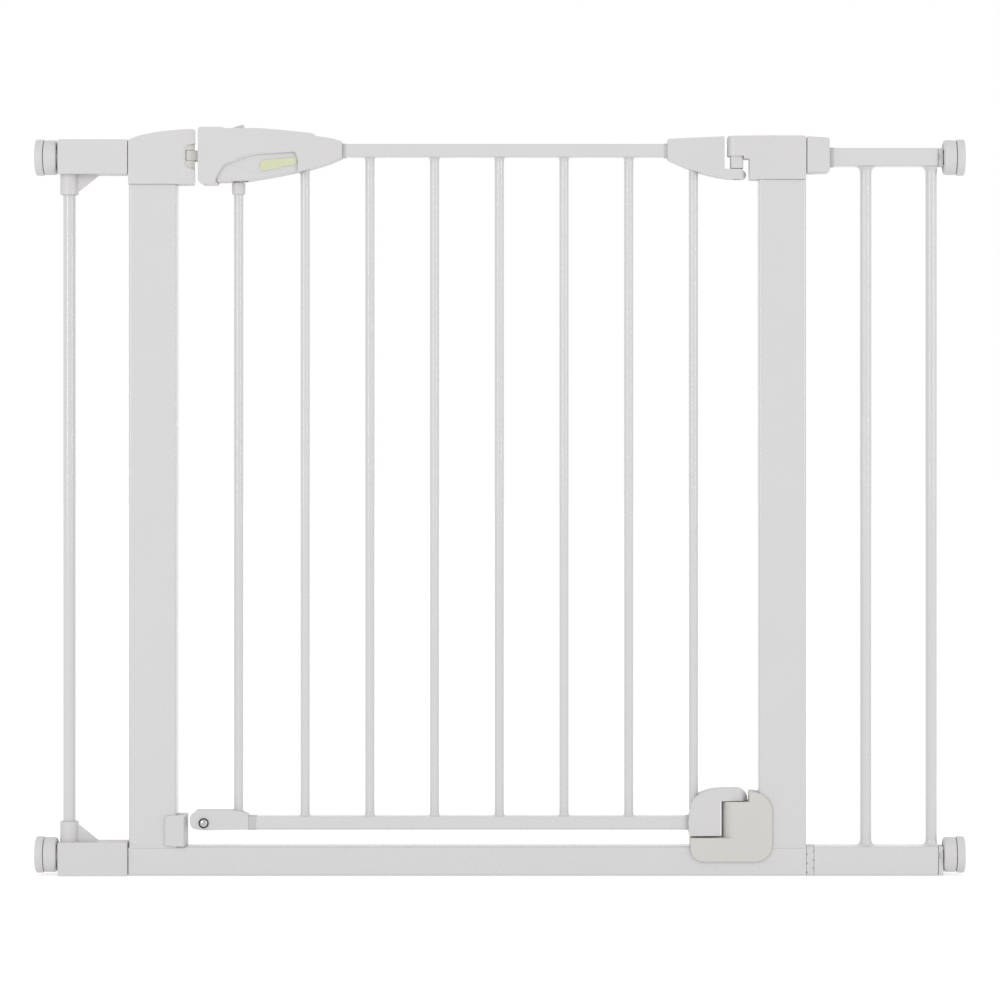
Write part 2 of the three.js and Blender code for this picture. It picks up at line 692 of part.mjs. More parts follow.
/** The glowing strip on the front of the lever. */
function glowStrip() {
  const strip = [[-245.6, 721.3, 3], [-241.6, 716.2, 2], [-207.6, 723.6], [-207.6, 730.7],
    [-241.6, 727.8, 2]];
  return plate(strip, -20, 0)
    .intersect(handlePlan(2))
    .subtract(handlePlan(LEVER_INSET - GAP));
}

/** The sliding bolt, with a pin at each side for the lever and a bore for its spring. */
function latchBolt() {
  const body = plate(
    [
      [BOLT_TIP, BOLT_AXIS_Z - 5.1, 1.5], [BOLT_TIP, BOLT_AXIS_Z + 5.1, 1.5],
      [BOLT_TAIL, BOLT_AXIS_Z + 5.1], [BOLT_TAIL, BOLT_AXIS_Z - 5.1],
    ],
    -7, 7, EDGE,
  );
  const pin = solid(alongY(disc(2, -12, 12), BOLT_PIN_X, BOLT_AXIS_Z));
  const bore = disc(3.7, BOLT_TIP + 5, BOLT_TAIL + 1);
  return body.add(pin).subtract(solid(alongX(bore, BOLT_AXIS_Z)));
}

/** The lock button on top of the handle, with its stem and foot through the slot. */
function lockButton() {
  const top = plate(
    [[-272, 760.6], [-272, 761.4], [-263, 764.3, 1], [-261.4, 764.3], [-261.4, 760.6]],
    -5.5, 5.5,
  );
  const stem = box(-270, -264, -2.6, 2.6, 755, 761);
  const foot = box(-272, -261.5, -5, 5, 754.4, 756.6);
  return top.add(stem).add(foot);
}

/** The upper arm: a socket for the rail and the last bar, and a tongue on the hinge pin. */
function upperHingeArm(lastBarX) {
  const halfDepth = 10.8;
  const tongueRadius = 10.2;
  const face = HINGE_X - 12.6;
  const side = plate(
    [
      [170.4, 749.5, 1], [face, 752.2, 1], [face, 719.2], [246, 719.2, 2], [251.2, 714, 2],
      [249, 708.8, 2], [236, 709], [225, 710.3], [210, 713.5], [194.5, 718.3], [179.3, 724.8],
      [170.4, 728.9],
    ],
    -halfDepth, halfDepth, EDGE,
  );
  const half = DOOR_RAIL.halfDepth + GAP;
  const railTop = DOOR_TOP_RAIL_Z + DOOR_RAIL.height;
  return side
    .intersect(roundEnded(160, face, halfDepth, tongueRadius, 700, 760))
    .subtract(box(160, 190.3, -half, half, DOOR_TOP_RAIL_Z - GAP, railTop + GAP))
    .subtract(upright(lastBarX, BAR_RADIUS + RUNNING, 700, 723.5))
    .subtract(upright(HINGE_X, UPPER_PIN.radius + RUNNING, 700, 721))
    .subtract(upright(HINGE_X, UPPER_PIN.headRadius + RUNNING, 700, UPPER_PIN.neck + GAP));
}

/** A prism that is wide up to a face and goes on as a tongue with a half circle about the
 *  hinge. */
function roundEnded(left, face, halfDepth, radius, z0, z1) {
  const step = face + 0.1;
  const plan = [[left, halfDepth + 1], [left, -halfDepth - 1], [step, -halfDepth - 1]];
  plan.push([step, -radius]);
  for (let degrees = -90; degrees <= 90; degrees += 15) {
    const angle = (degrees * Math.PI) / 180;
    plan.push([HINGE_X + radius * Math.cos(angle), radius * Math.sin(angle)]);
  }
  plan.push([step, radius], [step, halfDepth + 1]);
  return prism(plan, z0, z1);
}

/** The lower arm: it takes the rail's end and the last bar, and its tongue rests on the
 *  bracket's column. */
function lowerHingeArm(lastBarX) {
  const halfDepth = 13.5;
  const face = HINGE_X - 16.7;
  const under = BRACKET.column + 0.6;
  const side = plate(
    [
      [192.3, 40.8, 1], [191.3, 58, 4], [194, 66, 4], [194.6, 79, 8], [211, 86.6, 6],
      [225, 88.4, 6], [246, 88.4, 4], [251.7, 82, 3], [251.7, under], [face, under],
      [face, 40.8, 1],
    ],
    -halfDepth, halfDepth, EDGE,
  );
  const half = DOOR_RAIL.halfDepth + GAP;
  const railTop = DOOR_LOW_RAIL_Z + DOOR_RAIL.height;
  return side
    .intersect(roundEnded(180, face, halfDepth, 10.7, 30, 100))
    .subtract(box(180, 206.3, -half, half, DOOR_LOW_RAIL_Z - GAP, railTop + GAP))
    .subtract(upright(lastBarX, BAR_RADIUS + RUNNING, 66, 100))
    .subtract(upright(HINGE_X, LOWER_PIN.radius + RUNNING, 70, LOWER_PIN.top + GAP));
}

const RIVET = { x: -301.5, z: 53.5, radius: 2.8, headRadius: 5, halfDepth: 10.3 };

/** The lower block: its nose enters the catch, and a spigot holds it in the rail's end. */
function lowerLatchBlock() {
  const face = -256.3;
  const body = plate(
    [
      [-316.2, 57, 3], [-314.3, 62.1], [-313.4, 62.2], [-309.6, 66, 1], [-266, 66.2, 4],
      [face, 61.5, 1], [face, 46.9], [-279, 46.6], [-302.5, 45.9, 5], [-314, 48, 3],
    ],
    -10, 10, EDGE,
  );
  const { height, wall, halfDepth } = DOOR_RAIL;
  const inset = wall + GAP;
  const [low, high] = [DOOR_LOW_RAIL_Z + inset, DOOR_LOW_RAIL_Z + height - inset];
  const spigot = box(face - 1, -238, inset - halfDepth, halfDepth - inset, low, high);
  const hole = disc(RIVET.radius + RUNNING, -12, 12);
  return body
    .add(spigot)
    .subtract(upright(FIRST_BAR_X, BAR_RADIUS + RUNNING, 52, 70))
    .subtract(solid(alongY(hole, RIVET.x, RIVET.z)));
}

/** The rivet through the lower block, domed on both sides. */
function blockRivet() {
  const { radius, headRadius, halfDepth } = RIVET;
  const dome = halfDepth + 2;
  const profile = [
    [0, -dome], [headRadius * 0.6, -dome + 0.4], [headRadius, -halfDepth], [radius, -halfDepth],
    [radius, halfDepth], [headRadius, halfDepth], [headRadius * 0.6, dome - 0.4], [0, dome],
  ];
  return solid(alongY(turned(profile, SIDES), RIVET.x, RIVET.z));
}

/** The collar on the first bar, under the lever. */
function barCollar() {
  const inner = BAR_RADIUS + GAP;
  const profile = [
    [inner, 693.2], [5.6, 693.2], [6.85, 694.8], [6.85, 705.2], [inner, 705.2], [inner, 693.2],
  ];
  return solid(turned(profile, SIDES).translate(FIRST_BAR_X, 0, 0));
}

/** The bars of the door, from the latch side to the hinge side, as [x, z0, z1]. */
function barSpans() {
  const low = DOOR_LOW_RAIL_Z + DOOR_RAIL.height + GAP;
  const high = DOOR_TOP_RAIL_Z - GAP;
  const spans = [[FIRST_BAR_X, 52.3, 754], [SECOND_BAR_X, low, 726.7]];
  for (let i = 1; i <= 5; i += 1) spans.push([SECOND_BAR_X + BAR_PITCH * i, low, high]);
  spans.push([SECOND_BAR_X + BAR_PITCH * 6, 66.3, 723.2]);
  return spans;
}

function door() {
  const group = new THREE.Group();
  const { paint, plastic, ivory, glow, chrome, steel } = MATERIALS;
  const { halfDepth, height, wall } = DOOR_RAIL;
  const topRail = railTube(
    -190, 190, halfDepth, DOOR_TOP_RAIL_Z, DOOR_TOP_RAIL_Z + height, wall,
  );
  const lowRail = railTube(
    -256, 206, halfDepth, DOOR_LOW_RAIL_Z, DOOR_LOW_RAIL_Z + height, wall,
  );
  group.add(
    piece('door_top_rail', topRail, paint),
    piece('door_bottom_rail', lowRail, paint),
  );
  const spans = barSpans();
  spans.forEach(([x, z0, z1], i) => {
    const bar = roundTube(x, BAR_RADIUS, BAR_WALL, z0, z1);
    group.add(piece(`door_bar_${i + 1}`, bar, paint));
  });
  const [lastBarX] = spans.at(-1);
  const handle = handleBody();
  const [pivotX, pivotZ] = LEVER_PIVOT;
  const boltSpring = spring({ ...BOLT_SPRING, from: BOLT_TIP + 5.5, to: FIRST_BAR_X - 5.3 });
  const { radius: pinRadius, halfLength } = PIVOT_PIN;
  const pivotPin = disc(pinRadius, -halfLength, halfLength);
  group.add(
    piece('handle_front_shell', handle.intersect(box(-400, 0, -30, -0.15, 600, 800)), plastic),
    piece('handle_rear_shell', handle.intersect(box(-400, 0, 0.15, 30, 600, 800)), plastic),
    piece('lever_pivot_pin', solid(alongY(pivotPin, pivotX, pivotZ)), steel),
    piece('bolt_spring', solid(alongX(boltSpring, BOLT_AXIS_Z)), steel),
    piece('upper_hinge_arm', upperHingeArm(lastBarX), plastic),
    piece('lower_hinge_arm', lowerHingeArm(lastBarX), plastic),
    piece('lower_latch_block', lowerLatchBlock(), plastic),
    piece('block_rivet', blockRivet(), chrome),
    piece('bar_collar', barCollar(), plastic),
    piece('lift_lever', liftLever(), plastic),
    piece('glow_strip', glowStrip(), glow),
    piece('latch_bolt', latchBolt(), ivory),
    piece('lock_button', lockButton(), plastic),
  );
  return group;
}

const gate = new THREE.Group();
gate.add(weldedFrame(), leftExtension(), rightExtension(), door());
for (const side of ['left', 'right']) {
  gate.add(spindleSet(`${side}_top`, TOP_AXIS_Z));
  gate.add(spindleSet(`${side}_bottom`, LOW_AXIS_Z));
}

export default gate;
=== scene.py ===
"""A pressure-mounted safety gate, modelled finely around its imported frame.

The gate is a welded U of steel tube with a barred door on its right post, a lift-lever handle
that draws a bolt out of the left post's cap, and an extension with two spindle sets at each
side. Sizes are in millimetres, +Z up, +X to the right and -Y to the front; a finished mesh is
turned into metres as its last step.
"""

import logging
import math
from dataclasses import dataclass
from enum import Enum
from typing import Callable, Iterable, Sequence

import bmesh
import bpy
from mathutils import Matrix, Vector


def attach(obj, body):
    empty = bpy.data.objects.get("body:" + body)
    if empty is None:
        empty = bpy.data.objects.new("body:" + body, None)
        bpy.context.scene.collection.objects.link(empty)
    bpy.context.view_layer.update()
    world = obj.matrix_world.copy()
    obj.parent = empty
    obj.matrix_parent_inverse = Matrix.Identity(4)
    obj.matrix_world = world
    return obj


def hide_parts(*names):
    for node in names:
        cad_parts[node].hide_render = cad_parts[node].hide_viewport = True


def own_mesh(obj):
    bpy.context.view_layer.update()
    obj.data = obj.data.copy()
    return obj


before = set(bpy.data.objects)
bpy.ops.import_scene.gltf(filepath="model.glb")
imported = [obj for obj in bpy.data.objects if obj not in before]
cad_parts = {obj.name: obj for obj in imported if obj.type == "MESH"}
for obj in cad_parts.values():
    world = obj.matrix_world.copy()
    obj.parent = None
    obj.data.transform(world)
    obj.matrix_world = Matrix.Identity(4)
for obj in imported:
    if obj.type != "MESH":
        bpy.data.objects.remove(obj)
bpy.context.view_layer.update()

LOG = logging.getLogger("safety_gate")
MM = 0.001

Corner = tuple[float, ...]
Colour = tuple[float, float, float]
Where = Callable[[Vector], bool]


# ---- Finishes ---------------------------------------------------------------------------------


class NodeBench:
    """A material's node tree with short calls for adding and joining nodes."""

    def __init__(self, name: str) -> None:
        """Starts an empty node tree.

        Args:
            name: the material's name.
        """
        self.material = bpy.data.materials.new(name)
        self.material.use_nodes = True
        self.tree = self.material.node_tree
        self.tree.nodes.clear()

    def add(self, kind: str, inputs: dict | None = None, **settings: object) -> bpy.types.Node:
        """Adds a node.

        Args:
            kind: the node's type.
            inputs: values for its sockets, by name or number.
            settings: values for its own properties.

        Returns:
            The new node.
        """
        node = self.tree.nodes.new(kind)
        for key, value in settings.items():
            setattr(node, key, value)
        for key, value in (inputs or {}).items():
            node.inputs[key].default_value = value
        return node

    def join(self, start: bpy.types.NodeSocket, end: bpy.types.NodeSocket) -> None:
        """Joins an output socket to an input socket."""
        self.tree.links.new(start, end)

    def noise(self, scale: float, detail: float, seed: float = 0.0) -> bpy.types.NodeSocket:
        """Adds a noise pattern that is fixed to the piece.

        Args:
            scale: features to a metre.
            detail: octaves of finer noise.
            seed: moves the pattern, so that two of one scale differ.

        Returns:
            The pattern's value, from 0 to 1.
        """
        place = self.add("ShaderNodeTexCoord")
        shift = self.add("ShaderNodeMapping", {"Location": (seed, seed * 0.7, seed * 0.3)})
        cloud = self.add("ShaderNodeTexNoise", {"Scale": scale, "Detail": detail})
        self.join(place.outputs["Object"], shift.inputs["Vector"])
        self.join(shift.outputs["Vector"], cloud.inputs["Vector"])
        return cloud.outputs[0]

    def between(
        self, value: bpy.types.NodeSocket, low: float, high: float,
        source: tuple[float, float] = (0.35, 0.65),
    ) -> bpy.types.NodeSocket:
        """Maps a pattern's value to a range of numbers.

        Args:
            value: the pattern.
            low: the result at the range's start.
            high: the result at its end.
            source: the part of the pattern's own range that is used.

        Returns:
            The mapped value.
        """
        step = self.add(
            "ShaderNodeMapRange",
            {"From Min": source[0], "From Max": source[1], "To Min": low, "To Max": high},
        )
        self.join(value, step.inputs["Value"])
        return step.outputs["Result"]

    def tint(self, value: bpy.types.NodeSocket, first: Colour, second: Colour) -> bpy.types.NodeSocket:
        """Blends two colours by a value from 0 to 1.

        Args:
            value: how far the blend is towards the second colour.
            first: the colour at 0.
            second: the colour at 1.

        Returns:
            The blended colour.
        """
        mix = self.add("ShaderNodeMix", data_type="RGBA")
        mix.inputs[6].default_value = (*first, 1.0)
        mix.inputs[7].default_value = (*second, 1.0)
        self.join(value, mix.inputs[0])
        return mix.outputs[2]


@dataclass(frozen=True)
class Finish:
    """A surface with a slow drift of colour, uneven gloss and a fine relief."""

    name: str
    slot: str
    colour: Colour
    shade: Colour
    gloss: tuple[float, float]  # roughness at its smoothest and its dullest
    drift: float  # features to a metre in the colour
    grain: float  # features to a metre in the relief
    relief: float  # height of the relief in millimetres
    metallic: float = 0.0
    coat: float = 0.0
    coat_roughness: float = 0.2
    specular: float = 0.5
    soft_light: float = 0.0  # how much light spreads under the surface

    def pattern(self, bench: NodeBench) -> bpy.types.NodeSocket:
        """The value that drives the colour, from 0 to 1."""
        return bench.between(bench.noise(self.drift, 3.0), 0.0, 1.0, (0.2, 0.8))

    def height(self, bench: NodeBench) -> bpy.types.NodeSocket:
        """The value that drives the relief, from 0 to 1."""
        return bench.noise(self.grain, 2.0, 3.1)

    def material(self) -> bpy.types.Material:
        """Makes the material, or returns the one that was made before.

        Returns:
            The material.
        """
        known = bpy.data.materials.get(self.name)
        if known:
            return known
        bench = NodeBench(self.name)
        shader = bench.add(
            "ShaderNodeBsdfPrincipled",
            {
                "Metallic": self.metallic,
                "Coat Weight": self.coat,
                "Coat Roughness": self.coat_roughness,
                "Specular IOR Level": self.specular,
                "Subsurface Weight": self.soft_light,
                "Subsurface Scale": 0.002,
            },
        )
        bump = bench.add("ShaderNodeBump", {"Strength": 0.5, "Distance": self.relief * MM})
        out = bench.add("ShaderNodeOutputMaterial")
        colour = bench.tint(self.pattern(bench), self.colour, self.shade)
        rough = bench.between(bench.noise(self.drift * 4, 2.0, 7.7), *self.gloss)
        bench.join(colour, shader.inputs["Base Color"])
        bench.join(rough, shader.inputs["Roughness"])
        bench.join(self.height(bench), bump.inputs["Height"])
        bench.join(bump.outputs["Normal"], shader.inputs["Normal"])
        bench.join(shader.outputs["BSDF"], out.inputs["Surface"])
        return bench.material


@dataclass(frozen=True)
class Speckled(Finish):
    """Plastic filled with fine grains that show as lighter specks."""

    def pattern(self, bench: NodeBench) -> bpy.types.NodeSocket:
        """Fine specks over the slow drift."""
        specks = bench.between(bench.noise(self.grain * 0.6, 1.0, 5.3), 0.0, 0.7, (0.5, 0.62))
        both = bench.add("ShaderNodeMath", operation="ADD", use_clamp=True)
        bench.join(specks, both.inputs[0])
        bench.join(bench.between(bench.noise(self.drift, 2.0), 0.0, 0.5), both.inputs[1])
        return both.outputs[0]


@dataclass(frozen=True)
class Spangled(Finish):
    """Zinc plate, whose crystals each take the light a little differently."""

    def pattern(self, bench: NodeBench) -> bpy.types.NodeSocket:
        """Crystals of even brightness with sharp borders."""
        place = bench.add("ShaderNodeTexCoord")
        cells = bench.add("ShaderNodeTexVoronoi", {"Scale": self.drift})
        bench.join(place.outputs["Object"], cells.inputs["Vector"])
        parts = bench.add("ShaderNodeSeparateColor")
        bench.join(cells.outputs["Color"], parts.inputs[0])
        return parts.outputs[0]


@dataclass(frozen=True)
class Brushed(Finish):
    """Plated metal with faint polishing lines round its middle."""

    def height(self, bench: NodeBench) -> bpy.types.NodeSocket:
        """Noise drawn out into lines along Y."""
        place = bench.add("ShaderNodeTexCoord")
        stretch = bench.add("ShaderNodeMapping", {"Scale": (1.0, 0.05, 1.0)})
        cloud = bench.add("ShaderNodeTexNoise", {"Scale": self.grain, "Detail": 2.0})
        bench.join(place.outputs["Object"], stretch.inputs["Vector"])
        bench.join(stretch.outputs["Vector"], cloud.inputs["Vector"])
        return cloud.outputs[0]


PAINT = Finish(
    "powder_coat", "white_paint", (0.526, 0.519, 0.524), (0.516, 0.509, 0.514), (0.24, 0.34),
    16, 900, 0.0025, coat=0.6, coat_roughness=0.12,
)
PLASTIC = Finish(
    "moulded_plastic", "white_plastic", (0.525, 0.518, 0.521), (0.514, 0.507, 0.511), (0.36, 0.48),
    24, 3200, 0.006, soft_light=0.05,
)
# Painted shade: a darker copy of the white plastic, so that the sleeves on the rails beside the end fittings stand in
# for the shade that falls there.
SHADED_SLEEVE_PLASTIC = Finish(
    "sleeve_plastic_painted_shade", "white_plastic", (0.45, 0.442, 0.444), (0.436, 0.428, 0.43), (0.4, 0.5),
    24, 3200, 0.006,
)
IVORY = Finish(
    "ivory_nylon", "ivory_plastic", (0.512, 0.498, 0.478), (0.498, 0.484, 0.462), (0.4, 0.52),
    26, 3000, 0.006, soft_light=0.06,
)
GLOW = Speckled(
    "glow_nylon", "glow_plastic", (0.5, 0.51, 0.335), (0.57, 0.575, 0.42), (0.42, 0.55),
    60, 2600, 0.02, soft_light=0.2,
)
CHROME = Brushed(
    "bright_chrome", "chrome", (0.5, 0.5, 0.5), (0.44, 0.44, 0.45), (0.08, 0.15), 90, 5000,
    0.003, metallic=1.0,
)
# Painted reflection and shade: the near-black rings round the rivet stand in for the dark rim that the chrome dome
# shows.
DARK_RIVET_RING_PAINTED_REFLECTION = Finish(
    "rivet_ring_painted_dark_reflection", "chrome", (0.022, 0.022, 0.023), (0.03, 0.03, 0.03), (0.25, 0.4), 90,
    3000, 0.01, metallic=0.6,
)
ZINC = Spangled(
    "zinc_plate", "zinc_steel", (0.6, 0.6, 0.59), (0.47, 0.47, 0.46), (0.3, 0.42), 420, 2400,
    0.01, metallic=1.0,
)
RUBBER = Finish(
    "grip_rubber", "rubber", (0.52, 0.52, 0.51), (0.46, 0.46, 0.45), (0.8, 0.92), 60, 2200,
    0.05, specular=0.25,
)


# ---- Solids -----------------------------------------------------------------------------------


class Boolean(Enum):
    """The ways in which two solids are combined."""

    CUT = "DIFFERENCE"
    JOIN = "UNION"
    KEEP = "INTERSECT"


class Solid:
    """A closed form on the bench, in millimetres, shaped by mesh operators."""

    def __init__(self) -> None:
        """Starts with nothing on the bench."""
        self.bm = bmesh.new()

    # Making

    @classmethod
    def slab(cls, corners: Sequence[Corner], place: Callable, run: Corner, steps: int = 6) -> "Solid":
        """Fills an outline, rounds its corners and draws it out into a solid.

        Args:
            corners: the outline as (a, b) or (a, b, reach) with how far a rounding reaches.
            place: turns a and b into a point.
            run: how far the outline is drawn out.
            steps: segments in each rounding.

        Returns:
            The solid.
        """
        made = cls()
        bm = made.bm
        points = [bm.verts.new(place(c[0], c[1])) for c in corners]
        bm.faces.new(points)
        for point, corner in zip(points, corners):
            if len(corner) > 2:
                bmesh.ops.bevel(
                    bm, geom=[point], offset=corner[2], offset_type="OFFSET", segments=steps,
                    profile=0.5, affect="VERTICES", material=-1,
                )
        grown = bmesh.ops.extrude_face_region(bm, geom=list(bm.faces))
        moved = [v for v in grown["geom"] if isinstance(v, bmesh.types.BMVert)]
        bmesh.ops.translate(bm, vec=run, verts=moved)
        return made.outwards()

    @classmethod
    def plate(cls, corners: Sequence[Corner], y0: float, y1: float, steps: int = 6) -> "Solid":
        """A solid whose outline lies in X and Z, between two places in Y."""
        return cls.slab(corners, lambda a, b: (a, y0, b), (0, y1 - y0, 0), steps)

    @classmethod
    def prism(cls, corners: Sequence[Corner], z0: float, z1: float, steps: int = 6) -> "Solid":
        """A solid whose outline lies in X and Y, between two heights."""
        return cls.slab(corners, lambda a, b: (a, b, z0), (0, 0, z1 - z0), steps)

    @classmethod
    def beam(cls, corners: Sequence[Corner], x0: float, x1: float, steps: int = 6) -> "Solid":
        """A solid whose outline lies in Y and Z, between two places in X."""
        return cls.slab(corners, lambda a, b: (x0, a, b), (x1 - x0, 0, 0), steps)

    @classmethod
    def block(cls, low: Corner, high: Corner) -> "Solid":
        """A plain block between two corners, for cuts and joins."""
        made = cls()
        bmesh.ops.create_cube(made.bm, size=1.0)
        size = [b - a for a, b in zip(low, high)]
        bmesh.ops.scale(made.bm, vec=size, verts=made.bm.verts)
        return made.shift(*[(a + b) / 2 for a, b in zip(low, high)])

    @classmethod
    def turned(cls, profile: Sequence[Corner], steps: int = 48) -> "Solid":
        """Turns a profile of (radius, height) points a full round about Z.

        Args:
            profile: points that start and end on the axis, or a loop that ends as it starts.
            steps: segments in the round.

        Returns:
            The solid.
        """
        made = cls()
        bm = made.bm
        points = [bm.verts.new((r, 0, h)) for r, h in profile]
        lines = [bm.edges.new(pair) for pair in zip(points, points[1:])]
        bmesh.ops.spin(
            bm, geom=points + lines, cent=(0, 0, 0), axis=(0, 0, 1), dvec=(0, 0, 0),
            angle=2 * math.pi, steps=steps, use_merge=True, use_normal_flip=False,
            use_duplicate=False,
        )
        bmesh.ops.remove_doubles(bm, verts=bm.verts, dist=1e-4)
        return made.outwards()

    @classmethod
    def rod(cls, radius: float, start: float, end: float, steps: int = 48) -> "Solid":
        """A round bar along Z between two heights."""
        made = cls()
        bmesh.ops.create_cone(
            made.bm, cap_ends=True, segments=steps, radius1=radius, radius2=radius,
            depth=end - start,
        )
        return made.shift(0, 0, (start + end) / 2)

    @classmethod
    def coil(cls, radius: float, wire: float, start: float, end: float, turns: float) -> "Solid":
        """A spring of round wire about Z.

        Args:
            radius: from the axis to the wire's middle.
            wire: the wire's radius.
            start: the height at which the wire's middle starts.
            end: the height at which it ends.
            turns: how many turns it makes.

        Returns:
            The solid.
        """
        made = cls()
        bm = made.bm
        steps = int(turns * 32)
        bmesh.ops.create_circle(bm, cap_ends=True, radius=wire, segments=12)
        upright = Matrix.Rotation(math.pi / 2, 4, "X")
        bmesh.ops.transform(
            bm, matrix=Matrix.Translation((radius, 0, start)) @ upright, verts=bm.verts
        )
        grown = bmesh.ops.spin(
            bm, geom=list(bm.edges), cent=(0, 0, 0), axis=(0, 0, 1),
            dvec=(0, 0, (end - start) / steps), angle=2 * math.pi * turns, steps=steps,
            use_merge=False, use_normal_flip=False, use_duplicate=False,
        )
        rim = [e for e in grown["geom_last"] if isinstance(e, bmesh.types.BMEdge)]
        bmesh.ops.contextual_create(bm, geom=rim)
        return made.outwards()

    @classmethod
    def screw(cls, root: float, crest: float, pitch: float, start: float, end: float) -> "Solid":
        """A threaded rod along Z with flat ends.

        Args:
            root: the thread's radius in its valleys.
            crest: its radius on its ridges.
            pitch: how far one turn climbs.
            start: the height of the rod's lower end.
            end: the height of its upper end.

        Returns:
            The solid.
        """
        made = cls()
        bm = made.bm
        per_turn = 28
        turns = math.ceil((end - start) / pitch) + 2
        tooth = [(root, 0.0), (root, 0.3), (crest, 0.45), (crest, 0.8), (root, 1.0)]
        points = [bm.verts.new((r, 0, start + (h - 1) * pitch)) for r, h in tooth]
        lines = [bm.edges.new(pair) for pair in zip(points, points[1:])]
        bmesh.ops.spin(
            bm, geom=points + lines, cent=(0, 0, 0), axis=(0, 0, 1),
            dvec=(0, 0, pitch / per_turn), angle=2 * math.pi * turns, steps=per_turn * turns,
            use_merge=False, use_normal_flip=False, use_duplicate=False,
        )
        bmesh.ops.remove_doubles(bm, verts=bm.verts, dist=1e-3)
        for height, away in ((start, -1), (end, 1)):
            bmesh.ops.bisect_plane(
                bm, geom=[*bm.verts, *bm.edges, *bm.faces], dist=1e-4, clear_outer=True,
                plane_co=(0, 0, height), plane_no=(0, 0, away),
            )
        rims = [e for e in bm.edges if e.is_boundary]
        bmesh.ops.holes_fill(bm, edges=rims, sides=0)
        return made.outwards()

    # Placing

    def turn(self, angle: float, axis: str) -> "Solid":
        """Turns the solid about an axis through the origin, in degrees."""
        bmesh.ops.rotate(
            self.bm, cent=(0, 0, 0), matrix=Matrix.Rotation(math.radians(angle), 3, axis),
            verts=self.bm.verts,
        )
        return self

    def shift(self, x: float = 0, y: float = 0, z: float = 0) -> "Solid":
        """Moves the solid."""
        bmesh.ops.translate(self.bm, vec=(x, y, z), verts=self.bm.verts)
        return self

    def along_x(self, z: float) -> "Solid":
        """Lays a solid that stands along Z down along X, at a height."""
        return self.turn(90, "Y").shift(0, 0, z)

    def along_y(self, x: float, z: float) -> "Solid":
        """Lays a solid that stands along Z down along Y, at a place in X and Z."""
        return self.turn(-90, "X").shift(x, 0, z)

    # Shaping

    def outwards(self) -> "Solid":
        """Points every face outwards."""
        bmesh.ops.recalc_face_normals(self.bm, faces=self.bm.faces)
        return self

    def hollow(self, wall: float, along: Corner) -> "Solid":
        """Opens both ends of a drawn solid and gives it an inner wall.

        Args:
            wall: the wall's thickness.
            along: the direction in which the solid was drawn.

        Returns:
            The same solid.
        """
        bm = self.bm
        bm.normal_update()
        way = Vector(along)
        ends = [f for f in bm.faces if abs(f.normal.dot(way)) > 0.999]
        bmesh.ops.inset_individual(bm, faces=ends, thickness=wall, use_even_offset=True)
        bmesh.ops.delete(bm, geom=ends, context="FACES_ONLY")
        bmesh.ops.bridge_loops(bm, edges=[e for e in bm.edges if e.is_boundary])
        return self.outwards()

    def soften(
        self, width: float, segments: int = 3, where: Where | None = None, over: float = 30
    ) -> "Solid":
        """Rounds the solid's sharp edges.

        Args:
            width: how far a rounding reaches from its edge.
            segments: how many strips it has.
            where: keeps only edges whose middle passes this test.
            over: the least angle of a sharp edge, in degrees.

        Returns:
            The same solid.
        """
        self.bm.normal_update()
        limit = math.radians(over)
        sharp = [
            e for e in self.bm.edges
            if len(e.link_faces) == 2 and e.calc_face_angle() > limit
            and (where is None or where((e.verts[0].co + e.verts[1].co) / 2))
        ]
        if sharp:
            bmesh.ops.bevel(
                self.bm, geom=sharp, offset=width, offset_type="OFFSET", segments=segments,
                profile=0.5, affect="EDGES", material=-1, clamp_overlap=True, loop_slide=True,
            )
        return self

    def cut(self, *tools: "Solid") -> "Solid":
        """Takes other solids away from this one."""
        return self._combine(Boolean.CUT, tools)

    def join(self, *others: "Solid") -> "Solid":
        """Adds other solids to this one."""
        return self._combine(Boolean.JOIN, others)

    def keep(self, *others: "Solid") -> "Solid":
        """Keeps only what this solid shares with the others."""
        return self._combine(Boolean.KEEP, others)

    def copy(self) -> "Solid":
        """Returns a second solid of the same shape."""
        twin = Solid()
        twin.bm.free()
        twin.bm = self.bm.copy()
        return twin

    def _stand_in(self) -> bpy.types.Object:
        """Puts a copy of the solid into the scene for a modifier to work on."""
        mesh = bpy.data.meshes.new("bench")
        self.bm.to_mesh(mesh)
        stand_in = bpy.data.objects.new("bench", mesh)
        bpy.context.scene.collection.objects.link(stand_in)
        return stand_in

    def _combine(self, how: Boolean, others: Iterable["Solid"]) -> "Solid":
        """Combines the solid with others, one after another.

        Args:
            how: what is done with them.
            others: the other solids, which are used up.

        Returns:
            The same solid.
        """
        worked = self._stand_in()
        tools = [other._stand_in() for other in others]
        for tool in tools:
            step = worked.modifiers.new("step", "BOOLEAN")
            step.operation = how.value
            step.solver = "EXACT"
            step.object = tool
        graph = bpy.context.evaluated_depsgraph_get()
        mesh = bpy.data.meshes.new_from_object(worked.evaluated_get(graph))
        self.bm.clear()
        self.bm.from_mesh(mesh)
        for used in (worked, *tools):
            spent = used.data
            bpy.data.objects.remove(used)
            bpy.data.meshes.remove(spent)
        bpy.data.meshes.remove(mesh)
        for other in others:
            other.bm.free()
        bmesh.ops.remove_doubles(self.bm, verts=self.bm.verts, dist=1e-3)
        bmesh.ops.dissolve_degenerate(self.bm, dist=1e-3, edges=self.bm.edges)
        return self

    # Finishing

